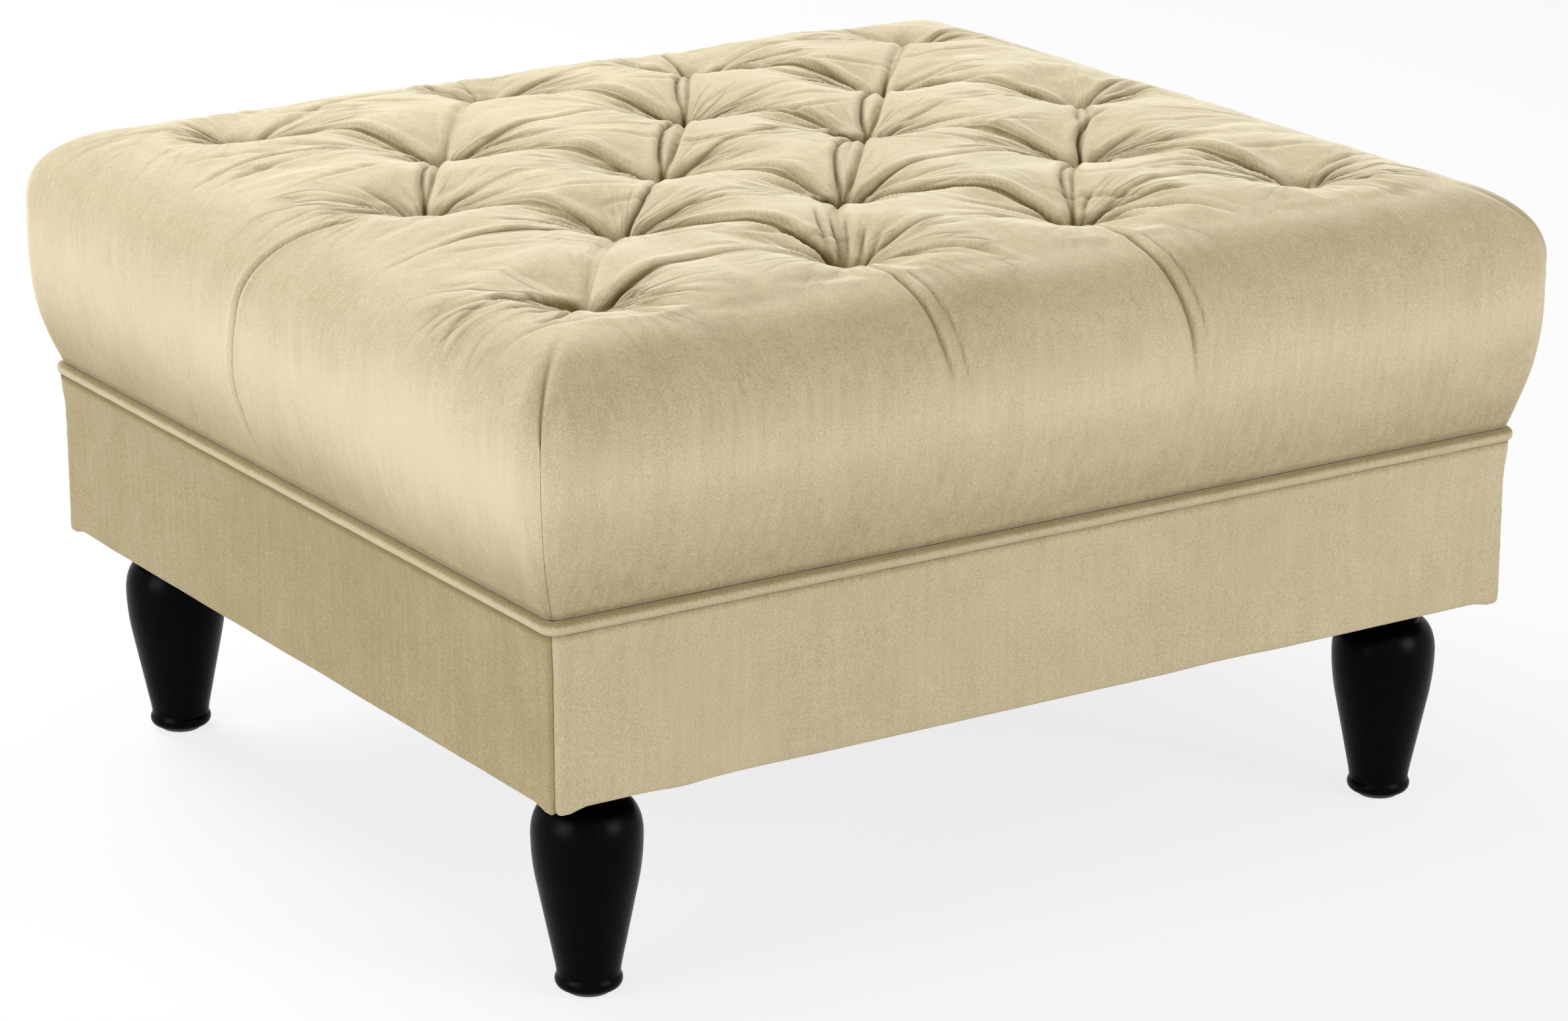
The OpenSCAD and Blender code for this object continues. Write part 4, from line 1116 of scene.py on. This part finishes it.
baseLow, baseHigh = (corner.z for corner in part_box("front_panel"))
panel = {
    "thick": 0.0012,
    "cornerRadius": 0.006,
    "turnIn": 0.020,              # velvet folded in under the rails
    "bottomRadius": 0.0022, "bottomBends": (22, 45, 68, 90),
    "flare": 0.0025, "flareHeight": 0.028,
    "seamDepth": 0.0035,          # seam allowance turned in at the corners
    "seamRadius": 0.0010,
    "column": 0.006, "rows": 22,
    "ripple": 0.00045, "rippleScale": (9, 14),    # waves per metre along and upwards
    "pucker": 0.0006, "puckerReach": 0.012, "puckerScale": 160,  # unevenness of the corner seams
    "cornerLift": 0.0006,         # the lower corners are rounded
    "cornerLiftReach": 0.007, "lowHeight": 0.010,
    "cornerDrop": 0.0026,         # folded velvet hangs a little lower beside each corner
    "cornerDropRound": 0.0065, "cornerDropFull": 0.012, "cornerDropEnd": 0.021, "cornerDropUneven": 0.4,
    "bulges": {"front_panel": (-0.283, 0.016, 0.0013)},   # a thick spot in the hem: (place, reach, drop)
    "dropFrom": -0.010, "dropFade": 0.006,    # how far in under the rails such drops begin
    "sag": 0.0012, "sagScale": 11,            # unevenness of the lower edge
    # painted light and shade on each side of the base, the left side darkest
    "napAndPaintedLight": {"front_panel": 0.06, "back_panel": 0.0, "left_panel": -0.49, "right_panel": -0.06},
    "napDrift": 0.08, "napScale": 6,
    "hemShade": 0.3, "hemHeight": 0.004,      # painted shade in the gap below the piping
}


def panelSection():
    # from the turned-in edge round the bottom and up to the piping, each (outwards, height)
    r = panel["bottomRadius"]
    rows = [(-panel["turnIn"] + (panel["turnIn"] - r) * i / 5, baseLow) for i in range(6)]
    bends = [math.radians(d) for d in panel["bottomBends"]]
    rows += [(-r + r * math.sin(a), baseLow + r - r * math.cos(a)) for a in bends]
    count = panel["rows"]
    for i in range(1, count + 1):
        z = baseLow + r + (baseHigh - baseLow - r) * i / count
        s = max(0.0, 1 - (baseHigh - z) / panel["flareHeight"])
        rows.append((panel["flare"] * s * s * (3 - 2 * s), z))
    return rows


def panelColumns(straight, arc):
    # distances from the panel's middle: the straight part, its share of both corners, the seam allowances
    count = round(straight / panel["column"])
    half = [straight * i / count for i in range(count + 1)]
    half += [straight + arc * i / 4 for i in range(1, 5)]
    half += [straight + arc + panel["seamDepth"] * i / 3 for i in range(1, 4)]
    return [-c for c in reversed(half[1:])] + half


def hangHem(node, turn, along, toSeam, out, z):
    # the height of a point of the panel, after the lower edge is lifted at the seam and sags beside it
    nearCorner = max(0.0, 1 - toSeam / panel["cornerLiftReach"])
    low = max(0.0, 1 - (z - baseLow) / panel["lowHeight"])
    inside = min(1.0, max(0.0, (out - panel["dropFrom"]) / panel["dropFade"]))
    sag = panel["sag"] * noise.noise(Vector((along * panel["sagScale"], turn, 4))) * low * (1 - nearCorner)
    z += panel["cornerLift"] * nearCorner ** 2 * low + max(0.0, sag)
    tip = min(1.0, toSeam / panel["cornerDropRound"])
    full = panel["cornerDropFull"]
    end = max(0.0, 1 - max(0.0, toSeam - full) / (panel["cornerDropEnd"] - full))
    fold = math.sqrt(1 - (1 - tip) ** 2) * end * end * (3 - 2 * end) * inside
    side = 1 if along >= 0 else -1
    uneven = 1 + panel["cornerDropUneven"] * noise.noise(Vector((side * 3.7, turn * 0.9, 8)))
    z -= panel["cornerDrop"] * fold * low * uneven
    if node in panel["bulges"]:
        place, reach, drop = panel["bulges"][node]
        z -= drop * math.exp(-((along - place) / reach) ** 2) * low * inside
    return z


def buildPanel(name, node, halfLength, halfDepth, turn):
    # made as the side that faces -Y, then turned to its own side
    radius = panel["cornerRadius"]
    straight = halfLength - radius
    arc = radius * math.pi / 4
    section = panelSection()
    columns = panelColumns(straight, arc)
    alongScale, upScale = panel["rippleScale"]
    bm = bmesh.new()
    bmesh.ops.create_grid(bm, x_segments=len(columns) - 1, y_segments=len(section) - 1, size=1.0)
    for v in bm.verts:
        along = columns[round((v.co.x + 1) / 2 * (len(columns) - 1))]
        out, z = section[round((v.co.y + 1) / 2 * (len(section) - 1))]
        far, sign = abs(along), 1 if along >= 0 else -1
        tuck = max(0.0, far - straight - arc)
        toSeam = max(0.0, straight + arc - far)
        if out < -radius:                        # the turned-in edge is mitred
            normal = Vector((0, -1))
            spot = Vector((min(far, halfLength + out), -halfDepth - out))
        else:
            angle = min(max(0.0, far - straight) / radius, math.pi / 4)
            normal = Vector((math.sin(angle), -math.cos(angle)))
            pucker = panel["pucker"] * noise.noise(Vector((turn, z * panel["puckerScale"], sign * 3)))
            pucker *= max(0.0, 1 - toSeam / panel["puckerReach"])
            groove = panel["seamRadius"] * (1 - min(1.0, toSeam / (2 * panel["seamRadius"]))) ** 2 - pucker
            spot = Vector((min(far, straight), radius - halfDepth)) + normal * (radius + out - tuck - groove)
        place = Vector((sign * spot.x * alongScale + turn * 3, z * upScale, turn))
        wave = noise.noise(place) * panel["ripple"]
        free = max(0.0, 1 - tuck / 0.001) * (1 if out >= 0 else 0)
        z = hangHem(node, turn, along, toSeam, out, z)
        v.co = Vector((sign * spot.x, spot.y, z)) + Vector((sign * normal.x, normal.y, 0)) * wave * free
    bmesh.ops.rotate(bm, verts=bm.verts, cent=(0, 0, 0), matrix=turnAbout(turn))
    bmesh.ops.recalc_face_normals(bm, faces=bm.faces)
    piece = newPiece(name, bm, baseVelvet)
    pointOut(piece)
    # painted light and shade for the panel's side, a random drift, and painted shade under the piping
    points, scale = pointsOf(piece.data), panel["napScale"]
    drift = np.array([noise.noise(Vector(p) * scale + Vector((turn, 0, 0))) for p in points])
    hemPaintedShade = smoothStep((points[:, 2] - baseHigh + panel["hemHeight"]) / panel["hemHeight"])
    paint(piece.data, "napAndPaintedLight", panel["napAndPaintedLight"][node] + panel["napDrift"] * drift - panel["hemShade"] * hemPaintedShade)
    shell = piece.modifiers.new("cloth", "SOLIDIFY")
    shell.thickness = panel["thick"]
    shell.offset = -1
    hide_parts(node)
    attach(piece, "root")


def turnAbout(degrees):
    return Matrix.Rotation(math.radians(degrees), 3, "Z")


def pointOut(piece):
    # an open sheet has no inside, so its faces are turned away from the object's middle
    middle = Vector((0, 0, baseHigh))
    mesh = piece.data
    facing = sum((p.center - middle).dot(p.normal) * p.area for p in mesh.polygons)
    if facing < 0:
        mesh.flip_normals()


for name, node, halfLength, halfDepth, turn in (
        ("frontPanel", "front_panel", baseX, baseY, 0), ("rightPanel", "right_panel", baseY, baseX, 90),
        ("backPanel", "back_panel", baseX, baseY, 180), ("leftPanel", "left_panel", baseY, baseX, -90)):
    buildPanel(name, node, halfLength, halfDepth, turn)
print("base panels done")


# Piping

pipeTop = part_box("seat_piping")[1].z
piping = {
    "radius": 0.0045,
    "sides": 20,
    "out": 0.0005,                # its axis outside the base's outline
    "step": 0.004, "cornerSteps": 8,
    "ripple": 0.00022, "rippleScale": 14,
    "swell": 0.04, "swellScale": (60, 200),   # unevenness of its thickness, along it and across
    "tone": 0.05,                 # the pile's tone on its crown, and painted shade above and below it
    "shadeAbove": 0.62, "aboveFrom": 0.1, "aboveFade": 0.6,
    "shadeBelow": 0.50, "belowFrom": 0.5, "belowFade": 0.5,
}


def outlinePath(halfX, halfY, radius, step):
    # points round a rectangle with round corners, from the middle of the back
    path, steps = [], piping["cornerSteps"]
    corners = ((halfX - radius, halfY - radius, 90), (halfX - radius, -halfY + radius, 0),
               (-halfX + radius, -halfY + radius, -90), (-halfX + radius, halfY - radius, -180))

    def straightOn(start, end):
        count = max(1, round((end - start).length / step))
        return [start.lerp(end, i / count) for i in range(count)]

    last = Vector((0, halfY))
    for cx, cy, start in corners:
        turns = [math.radians(start - 90 * i / steps) for i in range(steps + 1)]
        bend = [Vector((cx + radius * math.cos(a), cy + radius * math.sin(a))) for a in turns]
        path += straightOn(last, bend[0]) + bend[:-1]
        last = bend[-1]
    return path + straightOn(last, Vector((0, halfY)))


def buildPiping():
    reach = piping["out"]
    path = outlinePath(baseX + reach, baseY + reach, panel["cornerRadius"] + reach, piping["step"])
    axisZ = pipeTop - piping["radius"]
    wander, (along, across) = piping["rippleScale"], piping["swellScale"]
    bm = bmesh.new()
    ring = bmesh.ops.create_circle(bm, segments=piping["sides"], radius=piping["radius"])["verts"]
    shape = [v.co.copy() for v in ring]
    edges = list(bm.edges)
    rings = [ring]
    for _ in path[1:]:
        made = bmesh.ops.extrude_edge_only(bm, edges=edges)["geom"]
        edges = [e for e in made if isinstance(e, bmesh.types.BMEdge) and e.is_boundary]
        rings.append([v for v in made if isinstance(v, bmesh.types.BMVert)])
    for number, (spot, verts) in enumerate(zip(path, rings)):
        ahead, behind = path[(number + 1) % len(path)], path[number - 1]
        way = (ahead - behind).normalized()
        outward = Vector((-way.y, way.x))
        drift = piping["ripple"] * noise.noise(Vector((spot.x * wander, spot.y * wander, 7)))
        for local, v in zip(shape, verts):
            place = Vector((spot.x * along, spot.y * along, 3 + local.x * across))
            swell = 1 + piping["swell"] * noise.noise(place)
            off = local.x * swell + drift
            v.co = Vector((spot.x + outward.x * off, spot.y + outward.y * off, axisZ + local.y * swell))
    bmesh.ops.bridge_loops(bm, edges=[e for e in bm.edges if e.is_boundary])
    bmesh.ops.recalc_face_normals(bm, faces=bm.faces)
    piece = newPiece("seatPiping", bm, pipingVelvet)
    # painted shade over the upper half, under the seat's overhang, and on the underside
    height = (pointsOf(piece.data)[:, 2] - axisZ) / piping["radius"]
    above = smoothStep((height - piping["aboveFrom"]) / piping["aboveFade"])
    below = smoothStep((-piping["belowFrom"] - height) / piping["belowFade"])
    shade = piping["shadeAbove"] * above + piping["shadeBelow"] * below
    paint(piece.data, "napAndPaintedLight", piping["tone"] - shade)
    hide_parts("seat_piping")
    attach(piece, "root")


buildPiping()
print("piping done")


# Legs

leg = {
    "sides": 96,
    "glide": 0.0025,              # the leg's foot starts on top of the glide
    "height": 0.146,
    "ringRadius": 0.0216, "ringMiddle": 0.008, "ringHalfHeight": 0.0054, "ringBead": 0.005,
    "neckRadius": 0.0199, "neckHeight": 0.0125, "neckStep": 0.0002,
    "taperTop": 0.073,
    "bulbRadius": 0.0354, "bulbHeight": 0.106,
    "shoulder": 0.022,
    "topRadius": 0.0234,
}


def legProfile():
    # half of the leg's outline, from the middle of its foot to the middle of its top, each (outwards, height)
    slope = (leg["bulbRadius"] - leg["neckRadius"]) / (
        leg["taperTop"] - leg["neckHeight"] + (leg["bulbHeight"] - leg["taperTop"]) / 2)
    line = [(0, leg["glide"])]
    line += [(leg["ringRadius"] - leg["ringBead"] * (1 - math.cos(a)),
              leg["ringMiddle"] + leg["ringHalfHeight"] * math.sin(a))
             for a in (math.radians(d) for d in range(-84, 43, 9))]
    line.append((leg["neckRadius"] + leg["neckStep"], leg["neckHeight"] - leg["neckStep"]))
    for i in range(1, 11):
        z = leg["neckHeight"] + (leg["taperTop"] - leg["neckHeight"]) * i / 10
        line.append((leg["neckRadius"] + slope * (z - leg["neckHeight"]), z))
    for i in range(1, 17):
        z = leg["taperTop"] + (leg["bulbHeight"] - leg["taperTop"]) * i / 16
        bend = (leg["bulbHeight"] - z) ** 2 / (2 * (leg["bulbHeight"] - leg["taperTop"]))
        line.append((leg["bulbRadius"] - slope * bend, z))
    for d in range(6, 91, 6):
        a = math.radians(d)
        line.append((leg["topRadius"] + (leg["bulbRadius"] - leg["topRadius"]) * math.cos(a),
                     leg["bulbHeight"] + leg["shoulder"] * math.sin(a)))
    line += [(leg["topRadius"], leg["height"]), (0, leg["height"])]
    return line


def buildLeg(name, node):
    low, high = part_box(node)
    middle = (low + high) / 2
    bm = bmesh.new()
    line = [bm.verts.new((middle.x + r, middle.y, z)) for r, z in legProfile()]
    edges = [bm.edges.new(pair) for pair in zip(line, line[1:])]
    bmesh.ops.spin(bm, geom=line + edges, cent=(middle.x, middle.y, 0), axis=(0, 0, 1), angle=2 * math.pi,
                   steps=leg["sides"], use_merge=True)
    bmesh.ops.remove_doubles(bm, verts=bm.verts, dist=0.00001)
    bmesh.ops.recalc_face_normals(bm, faces=bm.faces)
    piece = newPiece(name, bm, lacquer)
    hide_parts(node)
    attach(piece, "root")


for name in ("front_left", "front_right", "back_left", "back_right"):
    first, second = name.split("_")
    buildLeg("leg" + first.title() + second.title(), "leg_" + name)
print("legs done")


# Dust cover and its staples

dustLow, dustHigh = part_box("dust_cover")
dust = {
    "thick": 0.0002,
    "gap": 0.00005,               # under the rails
    "cell": 0.009,
    "slack": 0.00035,             # how far it hangs at most
    "always": 0.35, "pucker": 0.45, "soft": 0.2,  # shares of it: everywhere, between staples, here and there
    "rimReach": 0.06, "puckerReach": 0.022, "softScale": 7,
    "stapleGap": 0.045, "stapleInset": 0.007,
    "stapleWidth": 0.010, "stapleWire": 0.0005,
    "stapleTurn": 8,              # degrees at most
}


def stapleSpots():
    # places and turns of the staples round the cloth's rim
    spots = []
    halfX, halfY = dustHigh.x - dust["stapleInset"], dustHigh.y - dust["stapleInset"]
    countX, countY = round(2 * halfX / dust["stapleGap"]), round(2 * halfY / dust["stapleGap"])
    for i in range(countX):
        x = -halfX + 2 * halfX * (i + 0.5) / countX
        spots += [(x, -halfY, 0), (x, halfY, 0)]
    for i in range(countY):
        y = -halfY + 2 * halfY * (i + 0.5) / countY
        spots += [(-halfX, y, 90), (halfX, y, 90)]
    return spots


def buildDustCover():
    halfX, halfY = dustHigh.x, dustHigh.y
    rim = dust["rimReach"]
    bm = bmesh.new()
    bmesh.ops.create_grid(bm, x_segments=round(2 * halfX / dust["cell"]),
                          y_segments=round(2 * halfY / dust["cell"]), size=1.0)
    spots = [Vector((x, y)) for x, y, _ in stapleSpots()]
    for v in bm.verts:
        x, y = v.co.x * halfX, v.co.y * halfY
        inner = min(halfX - abs(x), halfY - abs(y))
        near = min((Vector((x, y)) - s).length for s in spots) if inner < rim else rim
        pucker = math.sin(min(1.0, near / dust["puckerReach"]) * math.pi / 2) * max(0.0, 1 - inner / rim)
        soft = noise.noise(Vector((x * dust["softScale"], y * dust["softScale"], 2)))
        hang = dust["always"] + dust["pucker"] * pucker + dust["soft"] * soft
        v.co = (x, y, dustHigh.z - dust["gap"] - dust["slack"] * hang)
    bmesh.ops.recalc_face_normals(bm, faces=bm.faces)
    piece = newPiece("dustCover", bm, blackCloth)
    if piece.data.polygons[0].normal.z > 0:
        piece.data.flip_normals()
    shell = piece.modifiers.new("cloth", "SOLIDIFY")
    shell.thickness = dust["thick"]
    shell.offset = -1
    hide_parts("dust_cover")
    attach(piece, "root")


def buildStaples():
    wire = dust["stapleWire"]
    bm = bmesh.new()
    for x, y, turn in stapleSpots():
        made = bmesh.ops.create_cube(bm, size=1.0)["verts"]
        for v in made:
            v.co = (v.co.x * dust["stapleWidth"], v.co.y * wire * 2, v.co.z * wire)
        edges = {e for v in made for e in v.link_edges}
        made = bmesh.ops.bevel(bm, geom=list(edges), offset=wire * 0.3, offset_type="OFFSET",
                               segments=2, profile=0.5, affect="EDGES", material=-1)["verts"]
        turn += dust["stapleTurn"] * noise.noise(Vector((x * 40, y * 40, 0)))
        bmesh.ops.rotate(bm, verts=made, cent=(0, 0, 0), matrix=turnAbout(turn))
        bmesh.ops.translate(bm, verts=made, vec=(x, y, dustLow.z + wire * 0.2))
    piece = newPiece("dustCoverStaples", bm, zincSteel, smooth=False)
    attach(piece, "root")


buildDustCover()
buildStaples()
print("underside done")


# Studio

studio = {
    "floorSize": 30.0,
    "floorColour": (0.80, 0.80, 0.80, 1),
    "floorWhite": 0.80,           # share of the floor's picture that is plain white
    "skyLight": 0.42,
    "keyPlace": (1.5, -3.4, 1.3), "keySize": 1.6, "keyPower": 64.0,
    "fillPlace": (-3.4, -0.6, 1.2), "fillSize": 1.8, "fillPower": 60.0,
    "topPlace": (-0.4, 2.4, 2.5), "topSize": 1.8, "topPower": 106.0,
}


def seenDirectly(tree):
    # 1 where the camera looks at it, also by way of a mirror or a glass
    path = tree.nodes.new("ShaderNodeLightPath").outputs
    seen = maths(tree, "ADD", path["Is Camera Ray"], path["Is Transmission Ray"], True)
    return maths(tree, "ADD", seen, path["Is Glossy Ray"], True)


def buildFloor():
    bm = bmesh.new()
    bmesh.ops.create_grid(bm, x_segments=4, y_segments=4, size=studio["floorSize"] / 2)
    material = bpy.data.materials.new("floorPaper")
    material.use_nodes = True
    tree = material.node_tree
    tree.nodes.clear()
    paper = addNode(tree, "ShaderNodeBsdfDiffuse", None, Color=studio["floorColour"])
    white = addNode(tree, "ShaderNodeEmission", None, Color=(1, 1, 1, 1), Strength=1.0)
    share = maths(tree, "MULTIPLY", seenDirectly(tree), studio["floorWhite"])
    mixed = addNode(tree, "ShaderNodeMixShader", None, i0=share, i1=paper.outputs[0], i2=white.outputs[0])
    out = tree.nodes.new("ShaderNodeOutputMaterial")
    tree.links.new(mixed.outputs[0], out.inputs[0])
    floor = newPiece("floor", bm, material)


def buildWorld():
    world = bpy.data.worlds.new("studio")
    bpy.context.scene.world = world
    world.use_nodes = True
    tree = world.node_tree
    background = tree.nodes["Background"]
    background.inputs[0].default_value = (1, 1, 1, 1)
    seen = seenDirectly(tree)
    strength = maths(tree, "ADD", maths(tree, "MULTIPLY", seen, 1 - studio["skyLight"]), studio["skyLight"])
    tree.links.new(strength, background.inputs[1])


def buildLamp(name, place, size, power):
    lamp = bpy.data.objects.new(name, bpy.data.lights.new(name, "AREA"))
    lamp.data.size = size
    lamp.data.energy = power
    lamp.location = place
    lamp.rotation_euler = (Vector((0, 0, 0.25)) - Vector(place)).to_track_quat("-Z", "Y").to_euler()
    bpy.context.scene.collection.objects.link(lamp)


buildFloor()
buildWorld()
for lampName in ("key", "fill", "top"):
    buildLamp(lampName, studio[lampName + "Place"], studio[lampName + "Size"], studio[lampName + "Power"])

# Camera

view = {
    "place": (-1.7791, -2.7617, 1.2251),
    "below": 17.59,               # degrees below the horizon
    "turn": -32.98,
    "lens": 113.54,
    "sensor": 36.0,
}
camera = bpy.data.objects.new("camera", bpy.data.cameras.new("camera"))
camera.data.lens, camera.data.sensor_width = view["lens"], view["sensor"]
camera.location = view["place"]
camera.rotation_euler = (math.radians(90 - view["below"]), 0, math.radians(view["turn"]))
bpy.context.scene.collection.objects.link(camera)
bpy.context.scene.camera = camera
bpy.context.scene.view_settings.view_transform = "Standard"
print("studio done")
